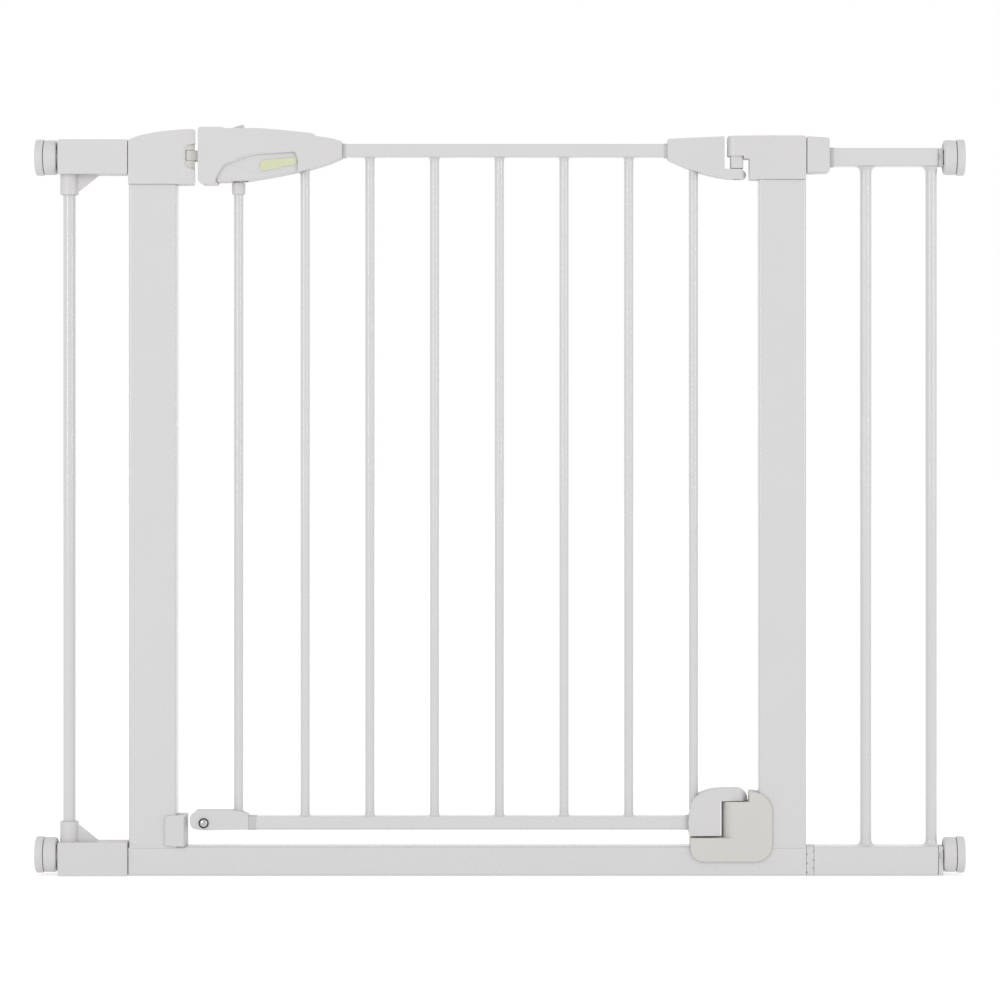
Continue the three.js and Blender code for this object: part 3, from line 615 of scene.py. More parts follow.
    def piece(self, name: str, body: str, finish: Finish, *nodes: str) -> bpy.types.Object:
        """Turns the solid into a finished piece of the gate.

        Args:
            name: the piece's name.
            body: the body it moves with.
            finish: its surface.
            nodes: the frame's nodes it stands for.

        Returns:
            The piece.
        """
        bmesh.ops.scale(self.bm, vec=(MM, MM, MM), verts=self.bm.verts)
        self.bm.normal_update()
        mesh = bpy.data.meshes.new(name)
        self.bm.to_mesh(mesh)
        self.bm.free()
        mesh.materials.append(finish.material())
        mesh.shade_smooth()
        mesh.set_sharp_from_angle(angle=math.radians(38))
        made = bpy.data.objects.new(name, mesh)
        bpy.context.scene.collection.objects.link(made)
        evened = made.modifiers.new("even_normals", "WEIGHTED_NORMAL")
        evened.keep_sharp = True
        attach(made, body)
        if nodes:
            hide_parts(*nodes)
        LOG.info("%s rides on %s, %d faces", name, body, len(mesh.polygons))
        return made


def oblong(half_a: float, low_b: float, high_b: float, reach: float) -> list[Corner]:
    """An outline that is even about its first axis, with rounded corners."""
    return [
        (-half_a, low_b, reach), (half_a, low_b, reach), (half_a, high_b, reach),
        (-half_a, high_b, reach),
    ]


def sleeve(x0: float, x1: float, half: float, z0: float, z1: float, wall: float = 0.25) -> Solid:
    """A thin sleeve on a rail that lies along X, given the rail's own size."""
    outline = oblong(half + wall, z0 - wall, z1 + wall, 2.0)
    return Solid.beam(outline, x0, x1).hollow(wall - 0.03, (1, 0, 0))


def around(x: float, radius: float, z0: float, z1: float, steps: int = 48) -> Solid:
    """A round bar along Z at a place in X."""
    return Solid.rod(radius, z0, z1, steps).shift(x, 0, 0)


# ---- The welded frame -------------------------------------------------------------------------

TOP_AXIS_Z = 731.2
LOW_AXIS_Z = 20.7
HINGE_X = 241.0
RUNNING = 0.4  # between a pin and its hole
GAP = 0.3  # between two pieces that touch


@dataclass
class WeldedFrame:
    """The U of steel tube: a floor rail with a post welded on each end."""

    left: float = -377.6
    right: float = 311.3
    rail_top: float = 30.0
    half_depth: float = 12.5
    wall: float = 1.5
    corner: float = 2.8
    post_width: float = 48.6
    latch_top: float = 703.1
    hinge_top: float = 708.1
    bead: float = 0.28  # how far a weld stands proud

    def post(self, x0: float, top: float) -> Solid:
        """An upright tube with rounded corners, open at its top."""
        outline = [(x, y, self.corner) for x, y in self.plan(x0, 0.0)]
        return Solid.prism(outline, self.rail_top, top).hollow(self.wall, (0, 0, 1))

    def plan(self, x0: float, proud: float) -> list[Corner]:
        """The corners of a post in plan, grown by some amount."""
        x1, deep = x0 + self.post_width + proud, self.half_depth + proud
        return [(x0 - proud, -deep), (x1, -deep), (x1, deep), (x0 - proud, deep)]

    def weld(self, x0: float) -> Solid:
        """The ground-down weld where a post stands on the rail."""
        outline = [(x, y, self.corner) for x, y in self.plan(x0, self.bead)]
        low, high = self.rail_top - 1.6, self.rail_top + 1.5
        return Solid.prism(outline, low, high).soften(self.bead, 3)

    def build(self) -> None:
        """Makes the rail, the posts and their welds."""
        outline = oblong(self.half_depth, 0.0, self.rail_top, self.corner)
        rail = Solid.beam(outline, self.left, self.right).hollow(self.wall, (1, 0, 0))
        rail.piece("floor_rail", "frame", PAINT, "frame_bottom_rail")
        hinge_left = self.right - self.post_width
        for side, x0, top in (("latch", self.left, self.latch_top), ("hinge", hinge_left, self.hinge_top)):
            self.post(x0, top).piece(f"{side}_post_tube", "frame", PAINT, f"{side}_post")
            self.weld(x0).piece(f"{side}_post_weld", "frame", PAINT)


@dataclass
class PostCaps:
    """The moulded caps of the two posts."""

    half_depth: float = 14.3
    edge: float = 1.1
    left: float = -378.0
    latch_end: float = -309.5
    latch_bottom: float = 703.4
    hinge_bottom: float = 708.4
    pocket_rear: float = 8.6
    slant: float = 3.7  # how far the latch cap's inner end leans back

    def spigot(self, x0: float, bottom: float) -> Solid:
        """The block under a cap that plugs its post."""
        deep = 10.7
        return Solid.block((x0 + 1.8, -deep, bottom - 14), (x0 + 46.8, deep, bottom + 1))

    def socket(self, x0: float, x1: float) -> Solid:
        """The hollow in a cap's side for an extension's tongue."""
        return Solid.block((x0, -8, 721.7), (x1, 8, 741.3))

    def slanted(self, back: float) -> Solid:
        """What lies beyond the latch cap's slanted inner end, moved left by some distance."""
        end, deep = self.latch_end - back, self.half_depth
        lean = self.slant / (2 * deep + 1)
        return Solid.prism(
            [
                (end + lean, -deep - 1), (end + 9, -deep - 1), (end + 9, deep + 1),
                (end - self.slant, deep + 1),
            ],
            690, 780,
        )

    def latch(self) -> Solid:
        """The left cap: it rises to the right, and its pocket takes the bolt from the front."""
        deep = self.half_depth
        body = Solid.plate(
            [
                (self.left, self.latch_bottom), (self.left, 748.5, 2), (-365.5, 753, 5.5),
                (-345, 757, 8), (-319, 759.2, 6), (self.latch_end, 759.2, 3.2),
                (self.latch_end, self.latch_bottom, 1.4),
            ],
            -deep, deep,
        ).cut(self.slanted(0)).soften(self.edge)
        pocket = Solid.plate(self.pocket(0.0), -deep - 1, self.pocket_rear)
        return (
            body.join(self.spigot(-377.6, self.latch_bottom))
            .cut(pocket, self.socket(self.left - 1, self.left + 13))
        )

    def pocket(self, inset: float) -> list[Corner]:
        """The pocket's outline in the latch cap, drawn in by some distance."""
        i = inset
        return [
            (-321 + i, 739.5 - i, 2), (-318 + i, 743 - i, 2), (-308, 744.8 - i),
            (-308, 717 + i), (-318 + i, 720 + i, 2), (-321 + i, 723 + i, 2),
        ]

    def strike(self) -> Solid:
        """The insert in the pocket, sloping inwards, with a channel for the bolt."""
        face = Solid.prism([(-325, -14.2), (-321, -14.2), (-308, -11.4), (-308, 8), (-325, 8)], 700, 780)
        insert = Solid.plate(self.pocket(0.04), -20, 8.5).keep(face).cut(self.slanted(0.5))
        insert.soften(0.5, 2, lambda p: p.y < -11 and p.x > -314)
        return insert.cut(Solid.block((-319.5, -30, 727.1), (-300, 7.6, 737.9)))

    def hinge(self) -> Solid:
        """The right cap: its nose reaches over the door's arm and holds the upper pin."""
        deep, bottom, right, tip = self.half_depth, self.hinge_bottom, 311.3, 231.6
        side = Solid.plate(
            [
                (tip, 732.3), (tip, 752.6, 1.6), (258, 753, 20), (right, 752.6, 2.6),
                (right, bottom, 1), (253.7, bottom, 1.2), (253.7, 729.7, 1), (247.7, 729.7),
                (247.7, 732.3),
            ],
            -deep, deep,
        )
        nose = around(HINGE_X, 12, 700, 760, 96)
        plan = Solid.prism(
            [
                (HINGE_X, -12), (HINGE_X + 11.4, -12, 1), (268, -deep, 12), (right + 1, -deep),
                (right + 1, deep),
                (268, deep, 12), (HINGE_X + 11.4, 12, 1), (HINGE_X, 12),
            ],
            700, 760,
        )
        boss = Solid.prism(
            [(HINGE_X - 6.5, -10, 2), (HINGE_X + 6.4, -10, 2), (HINGE_X + 6.4, 10, 2), (HINGE_X - 6.5, 10, 2)],
            719.9, 734,
        )
        return (
            side.keep(nose.join(plan))
            .cut(Solid.block((200, -20, 690), (tip, 20, 770)))
            .soften(1.4, 4, lambda p: p.z > 735)
            .soften(0.7, 3, lambda p: p.z < 729 and p.x > 250)
            .join(boss, self.spigot(262.7, bottom))
            .cut(around(HINGE_X, 3.4, 719, 744.3), self.socket(right - 13, right + 1))
        )

    def build(self) -> None:
        """Makes both caps and the strike."""
        self.latch().piece("latch_cap", "frame", PLASTIC, "latch_post_cap")
        self.strike().piece("latch_strike", "frame", IVORY)
        self.hinge().piece("hinge_cap", "frame", PLASTIC, "hinge_post_cap")


@dataclass
class FootFittings:
    """What sits at the feet of the posts: the catch, the hinge bracket, pins and spring."""

    half_depth: float = 15.5
    near: float = 12.8
    catch_near: float = 12.55
    column_top: float = 75.4

    def catch(self) -> Solid:
        """The catch beside the lower block's nose, with a shallow slope towards it."""
        deep, near = self.half_depth, self.catch_near
        body = Solid.plate(
            [(-340.6, 30.3, 3), (-340.6, 61.7, 4), (-319.8, 61.7, 1.4), (-319.8, 30.3)], -deep, deep,
        ).soften(3.0, 5, lambda p: p.x < -336).soften(1.0)
        slope = Solid.prism([(-321.4, -deep - 1), (-321.4, -deep), (-319.4, -deep + 4), (-319.4, -deep - 1)], 29, 60.3)
        return body.cut(Solid.block((-350, -near, 0), (-328.7, near, 100)), slope)

    def bracket(self) -> Solid:
        """The bracket over the corner of rail and post, with the column for the lower arm."""
        deep, near = self.half_depth, self.near
        corner = Solid.plate(
            [
                (193.3, 38.8, 1.2), (193.3, 14.4, 14), (276.6, 14.4, 18), (276.6, 85.5, 20),
                (253.2, 85.5, 1.2), (253.2, 38.8),
            ],
            -deep, deep, 10,
        ).soften(1.1)
        column = around(HINGE_X, deep, 36.8, self.column_top, 96)
        column.soften(0.8, 3, lambda p: p.z > self.column_top - 0.1)
        web = Solid.block((HINGE_X, -deep, 36.8), (255.2, deep, self.column_top))
        return corner.join(column, web).cut(
            Solid.block((180, -near, 0), (280, near, 30.3)),
            Solid.block((262.4, -near, 0), (280, near, 100)),
            around(HINGE_X, 11.5, 44, 80, 64),
            around(HINGE_X, 4.4, 34, 45),
        )

    def build(self) -> None:
        """Makes the catch, the bracket, both pins and the closing spring."""
        self.catch().piece("lower_catch", "frame", PLASTIC, "catch_bracket")
        self.bracket().piece("foot_bracket", "frame", IVORY, "hinge_bracket")
        upper = Solid.turned(
            [(0, 710), (4.2, 710), (4.2, 712.7), (3, 712.7), (3, 744), (0, 744)]
        ).soften(0.4)
        upper.shift(HINGE_X).piece("upper_pin", "frame", ZINC, "upper_hinge_pin")
        lower = around(HINGE_X, 4, 34.3, 85.5).soften(0.6)
        lower.piece("lower_pin", "frame", ZINC, "lower_hinge_pin")
        coil = Solid.coil(9.2, 1.2, 46, 73, 6).shift(HINGE_X)
        coil.piece("closing_spring", "frame", ZINC, "closer_spring")


# ---- The extensions ---------------------------------------------------------------------------


@dataclass
class LeftExtension:
    """Two moulded blocks with one upright tube between them."""

    left: float = -449.6
    right: float = -378.7
    boss_tip: float = -451.1
    half_depth: float = 15.0
    tube_x: float = -439.4
    tube_radius: float = 6.3
    edge: float = 1.2

    def block(self, z0: float, z1: float, spindle_z: float, facing: int) -> Solid:
        """A block with a socket and a gusset for the tube, and a bore for the spindle.

        Args:
            z0: its underside.
            z1: its top.
            spindle_z: the spindle's height.
            facing: 1 where the tube stands on it, -1 where the tube hangs from it.

        Returns:
            The block.
        """
        deep = self.half_depth
        face = z1 if facing > 0 else z0
        root, end, rib_end = face - facing * 2, face + facing * 20.6, face + facing * 17
        body = Solid.plate(
            [(self.left, z0, 2), (self.right, z0, 1), (self.right, z1, 1), (self.left, z1, 2)],
            -deep, deep,
        ).soften(self.edge)
        rib = Solid.plate(
            [(self.tube_x, root), (self.tube_x, rib_end), (-430, rib_end, 1.5), (-406, root)],
            -3, 3,
        ).soften(0.7, 2)
        socket = around(self.tube_x, 9.4, min(root, end), max(root, end), 64)
        socket.soften(0.8, 3, lambda p: abs(p.z - end) < 0.1)
        boss = Solid.rod(13, self.boss_tip, self.left + 2, 64).soften(0.4, 2)
        seat = sorted((face + facing * 2.7, end + facing))
        return body.join(socket, rib, boss.along_x(spindle_z)).cut(
            Solid.rod(5.4, self.left - 4, self.left + 62).along_x(spindle_z),
            around(self.tube_x, self.tube_radius + RUNNING, *seat),
        )

    def build(self) -> None:
        """Makes the blocks and the tube."""
        top = self.block(713.6, 748.8, TOP_AXIS_Z, -1)
        top.join(Solid.block((self.right - 1, -7.7, 722), (-366, 7.7, 741)))
        top.piece("left_top_block", "frame", PLASTIC, "left_ext_top_block")
        low = self.block(0, 34.2, LOW_AXIS_Z, 1)
        low.join(Solid.block((self.right - 1, -10.7, 1.8), (-362.6, 10.7, 28.2)))
        low.piece("left_low_block", "frame", PLASTIC, "left_ext_bottom_block")
        tube = Solid.rod(self.tube_radius, 37.2, 710.6, 64).hollow(1, (0, 0, 1))
        tube.shift(self.tube_x).piece("left_tube", "frame", PAINT, "left_ext_tube")


@dataclass
class RightExtension:
    """Two rails with two bars welded between them, clipped to the frame."""

    end: float = 445.2
    plug: tuple[float, float] = (446.0, 450.7)
    bar_radius: float = 5.8
    top_half: float = 9.4
    bars: tuple[tuple[str, float, bool], ...] = (("inner", 372.7, True), ("outer", 439.4, False))
    weld_reach: float = 6.0

    def bar(self, x: float, both_sides: bool) -> Solid:
        """A bar with the smooth welds that run out along both rails.

        Args:
            x: the bar's place.
            both_sides: whether there is room for the welds on its right.

        Returns:
            The bar.
        """
        r, reach = self.bar_radius, self.weld_reach
        low, high = 30.0, TOP_AXIS_Z - self.top_half
        flare = [
            (r + reach * (1 - math.sin(math.radians(a))), reach * (1 - math.cos(math.radians(a))))
            for a in range(0, 91, 15)
        ]
        rising = [(0, low)] + [(fr, low + fh) for fr, fh in flare]
        falling = [(fr, high - fh) for fr, fh in reversed(flare)] + [(0, high)]
        solid = Solid.turned(rising + falling, 64)
        half = 8.6
        limit = r + reach + 1 if both_sides else r
        solid.keep(Solid.block((-r - reach - 1, -half, low - 1), (limit, half, high + 1)))
        return solid.cut(Solid.rod(r - 1, low - 2, high + 2)).shift(x)

    def end_plug(self, half: float, wall: float, z0: float, z1: float, spindle_z: float) -> Solid:
        """The plug in a rail's end, bored for the spindle, with a slot in its front.

        Args:
            half: half the rail's depth.
            wall: the rail's wall.
            z0: the flange's underside.
            z1: its top.
            spindle_z: the spindle's height.

        Returns:
            The plug.
        """
        inner, (start, stop) = half - wall - GAP, self.plug
        flange = Solid.beam(oblong(half - 0.3, z0 + 0.3, z1 - 0.3, 1.4), start, stop)
        flange.soften(0.6, 2)
        stem = Solid.block((start - 11, -inner, z0 + wall + GAP), (start + 1, inner, z1 - wall - GAP))
        bore = Solid.rod(5.4, start - 12, stop + 1).along_x(spindle_z)
        slot = Solid.block((start - 0.1, -half - 1, spindle_z - 2.6), (start + 1.5, 1.6 - half, spindle_z + 2.6))
        return flange.join(stem).cut(bore, slot)

    def collar(self) -> Solid:
        """The collar that joins the upper rail to the hinge post's cap."""
        half = self.top_half + GAP
        body = Solid.plate(
            [(312.0, 714.8, 1.2), (312.0, 752, 1.2), (335.1, 750.6, 2.4), (335.1, 715.6, 2.4)],
            -14, 14,
        ).soften(1.2)
        return body.join(Solid.block((299.3, -7.7, 722), (314.3, 7.7, 741))).cut(
            Solid.block((318, -half, TOP_AXIS_Z - half), (337, half, TOP_AXIS_Z + half))
        ).soften(0.5, 2, lambda p: p.x > 334.9 and abs(p.y) < 10.5 and abs(p.z - TOP_AXIS_Z) < 10.5)

    def clip(self) -> Solid:
        """The joiner between the two lower rails, with crimped edges on its band."""
        body = Solid.beam(oblong(12.5, 0, 30, 2.8), 311.6, 319).soften(0.35, 2)
        teeth = [
            Solid.rod(1.3, -14, 14, 20).along_y(x, z)
            for x, z in ((311.2, 4), (311.2, 13), (311.2, 22), (319.4, 8), (319.4, 16), (319.4, 25))
        ]
        body.cut(*teeth)
        return body.join(Solid.block((297, -10.7, 1.8), (333, 10.7, 28.2)))

    def build(self) -> None:
        """Makes the rails, bars, collar, clip and plugs."""
        low, high = TOP_AXIS_Z - self.top_half, TOP_AXIS_Z + self.top_half
        upper = Solid.beam(oblong(self.top_half, low, high, 2.2), 318.3, self.end)
        upper.hollow(1.2, (1, 0, 0)).piece("right_upper_rail", "frame", PAINT, "right_ext_top_rail")
        lower = Solid.beam(oblong(12.5, 0, 30, 2.8), 319.3, self.end).hollow(1.5, (1, 0, 0))
        lower.piece("right_lower_rail", "frame", PAINT, "right_ext_bottom_rail")
        for place, x, both in self.bars:
            self.bar(x, both).piece(f"right_{place}_bar", "frame", PAINT, f"right_ext_bar_{place}")
        self.collar().piece("rail_collar", "frame", PLASTIC, "ext_collar")
        # The sleeve's darker grey is painted shade where the upper rail meets the collar.
        ring = sleeve(334, 339.6, self.top_half, low, high)
        ring.piece("rail_sleeve_collar", "frame", SHADED_SLEEVE_PLASTIC)
        self.clip().piece("rail_clip", "frame", PLASTIC, "ext_clip")
        top = self.end_plug(self.top_half, 1.2, low, high, TOP_AXIS_Z)
        top.piece("top_end_plug", "frame", PLASTIC, "right_top_plug")
        bottom = self.end_plug(12.5, 1.5, 0.2, 29.8, LOW_AXIS_Z)
        bottom.piece("bottom_end_plug", "frame", PLASTIC, "right_bottom_plug")


@dataclass
class SpindleSet:
    """One corner's adjuster wheel, threaded spindle, wall cup and pad."""

    place: str
    z: float
    radius: float = 17.75
    wheel: tuple[float, float] = (451.4, 464.2)
    cup: tuple[float, float] = (464.6, 473.0)
    cup_radius: float = 18.5
    rod_end: float = 469.2
    rod_length: float = 80.0

    def hand_wheel(self) -> Solid:
        """The smooth wheel that turns on the spindle, dished on its inner face."""
        start, end = self.wheel
        r, hub = self.radius, 8.6
        return Solid.turned(
            [
                (5.4, start), (hub, start), (hub + 0.5, start + 0.7), (r - 4.2, start + 0.7),
                (r - 3.6, start), (r - 2.8, start), (r - 1.4, start + 0.35), (r - 0.45, start + 1.2),
                (r, start + 2.8), (r, end - 1), (r - 0.3, end - 0.3), (r - 1, end), (5.4, end),
                (5.4, start),
            ],
            128,
        )

    def wall_cup(self) -> Solid:
        """The cup that is pressed to the wall, hollow at its rear for the pad."""
        start, end = self.cup
        r = self.cup_radius
        return Solid.turned(
            [
                (5.4, start), (7.4, start), (7.9, start + 0.4), (14.6, start + 0.4),
                (15.2, start), (r - 1.5, start), (r - 0.45, start + 0.45), (r, start + 1.5),
                (r, end - 1.5), (r - 0.45, end - 0.45), (r - 1.5, end), (15, end), (15, 471),
                (2.2, 471), (2.2, 469.5), (5.4, 469.5), (5.4, start),
            ],
            128,
        )

    def build(self) -> None:
        """Makes the four pieces at this corner."""
        half_turn = 180 if self.place.startswith("left") else 0
        pad = Solid.turned([(4, 471.3), (14.6, 471.3), (14.6, 472.7), (4, 472.7), (4, 471.3)], 64)
        rod = Solid.screw(4.2, 5.0, 2.5, self.rod_end - self.rod_length, self.rod_end)
        for solid, name, body, finish, node in (
            (self.hand_wheel(), "hand_wheel", "wheel", PLASTIC, "adjuster_wheel"),
            (rod, "threaded_rod", "spindle", ZINC, "spindle"),
            (self.wall_cup(), "pressure_cup", "spindle", PLASTIC, "wall_cup"),
            (pad.soften(0.4, 2), "grip_pad", "spindle", RUBBER, "wall_pad"),
        ):
            solid.along_x(self.z).turn(half_turn, "Z")
            solid.piece(
                f"{name}_{self.place}", f"{body}_{self.place}", finish, f"{node}_{self.place}"
            )


# ---- The door ---------------------------------------------------------------------------------


@dataclass
class DoorLeaf:
    """The door's rails and bars, welded to each other."""

    bar_radius: float = 4.75
    half_depth: float = 9.0
    height: float = 13.5
    top_z: float = 731.2
    low_z: float = 46.7
    first_x: float = -266.8
    second_x: float = -199.0
    pitch: float = 66.0

    def rail(self, x0: float, x1: float, z0: float) -> Solid:
        """A rectangular tube along X."""
        outline = oblong(self.half_depth, z0, z0 + self.height, 2.0)
        return Solid.beam(outline, x0, x1).hollow(1.2, (1, 0, 0))

    def bar(self, x: float, z0: float, z1: float, low_weld: bool, high_weld: bool) -> Solid:
        """A round bar, with a small weld where it meets a rail.

        Args:
            x: the bar's place.
            z0: its lower end.
            z1: its upper end.
            low_weld: whether its lower end meets a rail.
            high_weld: whether its upper end does.

        Returns:
            The bar.
        """
        r, inner = self.bar_radius, self.bar_radius - 1
        flare = ((2.3, 0.0), (1.5, 0.25), (0.8, 0.8), (0.3, 1.6), (0.08, 2.4), (0.0, 3.2))
        low = [(r + out, z0 + up) for out, up in flare] if low_weld else [(r, z0)]
        high = [(r + out, z1 - up) for out, up in reversed(flare)] if high_weld else [(r, z1)]
        profile = [(inner, z0), *low, *high, (inner, z1), (inner, z0)]
        return Solid.turned(profile, 64).shift(x)

    def build(self) -> None:
        """Makes the rails, the eight bars and the first bar's collar."""
        self.rail(-190, 190, self.top_z).piece("upper_rail", "door", PAINT, "door_top_rail")
        self.rail(-256, 206, self.low_z).piece("lower_rail", "door", PAINT, "door_bottom_rail")
        for end, x0, x1, low in (
            ("handle", -166, -157.3, self.top_z), ("upper_arm", 166.8, 175, self.top_z),
            ("nose_block", -257, -248.4, self.low_z), ("lower_arm", 188.8, 197, self.low_z),
        ):
            # Each sleeve's darker grey is painted shade where the rail meets its end fitting.
            ring = sleeve(x0, x1, self.half_depth, low, low + self.height)
            ring.piece(f"rail_sleeve_{end}", "door", SHADED_SLEEVE_PLASTIC)
        low, high = self.low_z + self.height, self.top_z
        spans = [(self.first_x, 52.3, 754.0, False, False), (self.second_x, low, 726.7, True, False)]
        spans += [(self.second_x + self.pitch * i, low, high, True, True) for i in range(1, 6)]
        spans.append((self.second_x + self.pitch * 6, 66.3, 723.2, False, False))
        for i, span in enumerate(spans, 1):
            self.bar(*span).piece(f"upright_bar_{i}", "door", PAINT, f"door_bar_{i}")
        collar = Solid.turned(
            [
                (5.05, 693.2), (5.5, 693.2), (5.9, 693.5), (6.6, 694.5), (6.85, 695.1),
                (6.85, 704.8), (6.5, 705.2), (5.05, 705.2), (5.05, 693.2),
            ],
            64,
        )
        collar.shift(self.first_x).piece("first_bar_collar", "door", PLASTIC, "bar_collar")


HANDLE_OUTLINE: tuple[Corner, ...] = (
    (-306.9, 761.2, 3), (-282.2, 761.2, 1), (-280, 759.9, 1), (-262, 759.9), (-248.7, 760.2, 6),
    (-233.4, 759.3, 7), (-213, 757.4, 9), (-191, 755.2, 2), (-186.8, 752.2, 2),
    (-172.5, 750.3, 5), (-160.8, 747, 2), (-160.8, 730.7, 1.4), (-177.6, 723.6, 5), (-192.8, 719.5, 4),
    (-203, 716, 4), (-223.3, 712.4, 8), (-243.6, 708.9, 7), (-258.8, 706.3, 6),
    (-287.3, 705.4, 0.8), (-289.3, 703.6, 0.8), (-306.9, 703.6, 5),
)
HANDLE_CAVITY: tuple[Corner, ...] = (
    (-304.3, 758.6), (-284, 758.6), (-282, 757.4), (-248.7, 757.6), (-233.4, 756.8),
    (-213, 754.6), (-205.5, 753.5), (-205.5, 718.2), (-223.3, 715), (-258.8, 709),
    (-287.3, 708), (-304.3, 706.2),
)
LEVER_WINDOW: tuple[Corner, ...] = (
    (-287.8, 700), (-287.8, 708.5, 2), (-283, 716.8, 3), (-277.6, 723.1, 3), (-273, 723.6, 2),
    (-258.8, 730.2, 4), (-247.7, 733.2, 4), (-208, 736.2, 2), (-205.5, 727, 2), (-205.5, 700),
)
LEVER_SIDE: tuple[Corner, ...] = (
    (-287.3, 706), (-287.3, 712, 2), (-292.8, 726, 2), (-292.8, 737.5, 2), (-287, 737.5, 1),
    (-270, 733, 2), (-247.7, 736.5, 2), (-220, 746, 3), (-206.4, 746, 4), (-206.4, 737.5),
    (-205.7, 735.5), (-205.7, 716.6, 0.6),
    (-223.3, 712.9, 6), (-243.6, 709.4, 6), (-258.8, 706.8, 4),
)
LEVER_TROUGH: tuple[Corner, ...] = (
    (-300, 708.5), (-258.8, 709.3), (-243.6, 711.9), (-224, 715.4), (-224, 760), (-300, 760),
)


@dataclass
class Handle:
    """The handle's shells and the latch works between them."""

    half: float = 17.0
    end_half: float = 12.5
    taper_from: float = -280.0
    end: float = -160.8
    wall: float = 2.4
    bolt_z: float = 732.5
    pivot: tuple[float, float] = (-212.0, 741.0)
    lever_angle: float = 8.0
    bolt_travel: float = 12.6
    bolt_pin_x: float = -288.5

    def half_at(self, x: float) -> float:
        """Half the handle's thickness at a place along it."""
        share = max(0.0, (x - self.taper_from) / (self.end - self.taper_from))
        return self.half - (self.half - self.end_half) * share

    def taper(self, inset: float) -> Solid:
        """The handle's plan, drawn in from its outside by some distance."""
        far = self.end + 5
        wide, narrow = self.half - inset, self.half_at(far) - inset
        return Solid.prism(
            [
                (-312, -wide), (self.taper_from, -wide), (far, -narrow), (far, narrow),
                (self.taper_from, wide), (-312, wide),
            ],
            680, 780,
        )

    def body(self) -> Solid:
        """Both shells in one, before they are parted."""
        z, out = self.bolt_z, 20
        whole = Solid.plate(HANDLE_OUTLINE, -out, out).keep(self.taper(0)).soften(2.0, 4)
        cavity = Solid.plate(HANDLE_CAVITY, -out, out).keep(self.taper(self.wall))
        window = Solid.plate(LEVER_WINDOW, -out, out)
        for side in (-1, 1):
            window.join(self.window_slope(side))
        x, pivot_z = self.pivot
        return whole.cut(
            cavity,
            window,
            Solid.plate([(-310, z - 5.6), (-303, z - 5.6), (-303, z + 5.6), (-310, z + 5.6)], -13.9, 7.5),
            Solid.prism([(-279.8, -3, 1), (-263.2, -3, 1), (-263.2, 3, 1), (-279.8, 3, 1)], 750, 770),
            Solid.block((-190.3, -9.3, 730.9), (-150, 9.3, 745)),
            around(-199, 5.15, 700, 727),
            around(-266.8, 5.15, 700, 755),
            Solid.rod(2.4, -13.6, 13.6).along_y(x, pivot_z),
        )

    def window_slope(self, side: int) -> Solid:
        """A slope from the handle's side into the window, all round the lever."""
        slope = Solid.plate(LEVER_WINDOW, 0, 4.2 * side)
        far = [v for v in slope.bm.verts if abs(v.co.y) > 1]
        bmesh.ops.scale(slope.bm, vec=(1.06, 1, 1.3), space=Matrix.Translation((248, 0, -712)), verts=far)
        bmesh.ops.translate(slope.bm, vec=(0, side * (self.half_at(-247) - 1.7), 0), verts=slope.bm.verts)
        return slope.outwards()

    def cam_slot(self) -> Solid:
        """The slanted slot that draws the bolt's pin back as the lever rises."""
        x, z = self.pivot
        turn = math.radians(self.lever_angle)
        dx, dz = self.bolt_pin_x + self.bolt_travel - x, self.bolt_z - z
        end = Vector((x + dx * math.cos(turn) - dz * math.sin(turn),
                      z + dx * math.sin(turn) + dz * math.cos(turn)))
        start = Vector((self.bolt_pin_x, self.bolt_z))
        along = (end - start).normalized() * 2.8
        side = Vector((-along.y, along.x))
        corners = [start - along - side, end + along - side, end + along + side, start - along + side]
        return Solid.plate([(p.x, p.y, 1.5) for p in corners], -12.4, 12.4)

    def lever(self) -> Solid:
        """The lift lever: two cheeks and a floor round the first bar, with a finger grip."""
        x, z = self.pivot
        whole = Solid.plate(LEVER_SIDE, -20, 20).keep(self.taper(2.8))
        whole.soften(1.2, 3, lambda p: p.z < 725 and p.x < -208)
        whole.soften(0.3, 2, lambda p: p.z >= 725 or p.x >= -208)
        for side in (-1, 1):
            whole.join(self.grip(side))
        return whole.cut(
            Solid.plate(LEVER_TROUGH, -8, 8),
            Solid.prism([(-272.6, -5.6, 2), (-256.6, -5.6, 2), (-256.6, 5.6, 2), (-272.6, 5.6, 2)], 700, 715),
            self.cam_slot(),
            Solid.rod(2.4, -20, 20).along_y(x, z),
        )

    def grip(self, side: int) -> Solid:
        """The raised lower panel of a cheek, under the strip."""
        panel = Solid.plate(
            [
                (-286.0, 708.9, 1), (-276.4, 722.6, 3), (-266, 720.6, 4), (-253, 715.8, 5),
                (-242, 713.9, 5), (-222.3, 717.4, 4), (-207.2, 721.6, 1), (-207.2, 717.2, 1),
                (-223.3, 713.7, 6), (-243.6, 710.2, 6), (-258.8, 707.6, 4),
            ],
            *sorted((side * 10.0, side * 20.0)),
        )
        return panel.keep(self.taper(2.5)).soften(0.28, 2, lambda p: abs(p.y) > 11)

    def strip(self) -> Solid:
        """The glowing strip let into the lever's front."""
        outline = [
            (-245.6, 721.3, 3), (-241.6, 716.2, 2.4), (-206.4, 723.8, 0.8), (-206.4, 730.8, 0.8),
            (-241.6, 727.8, 2.4),
        ]
        strip = Solid.plate(outline, -20, 0).keep(self.taper(2.0))
        strip.soften(0.45, 3, lambda p: p.y < -10)
        return strip.cut(self.taper(2.5))

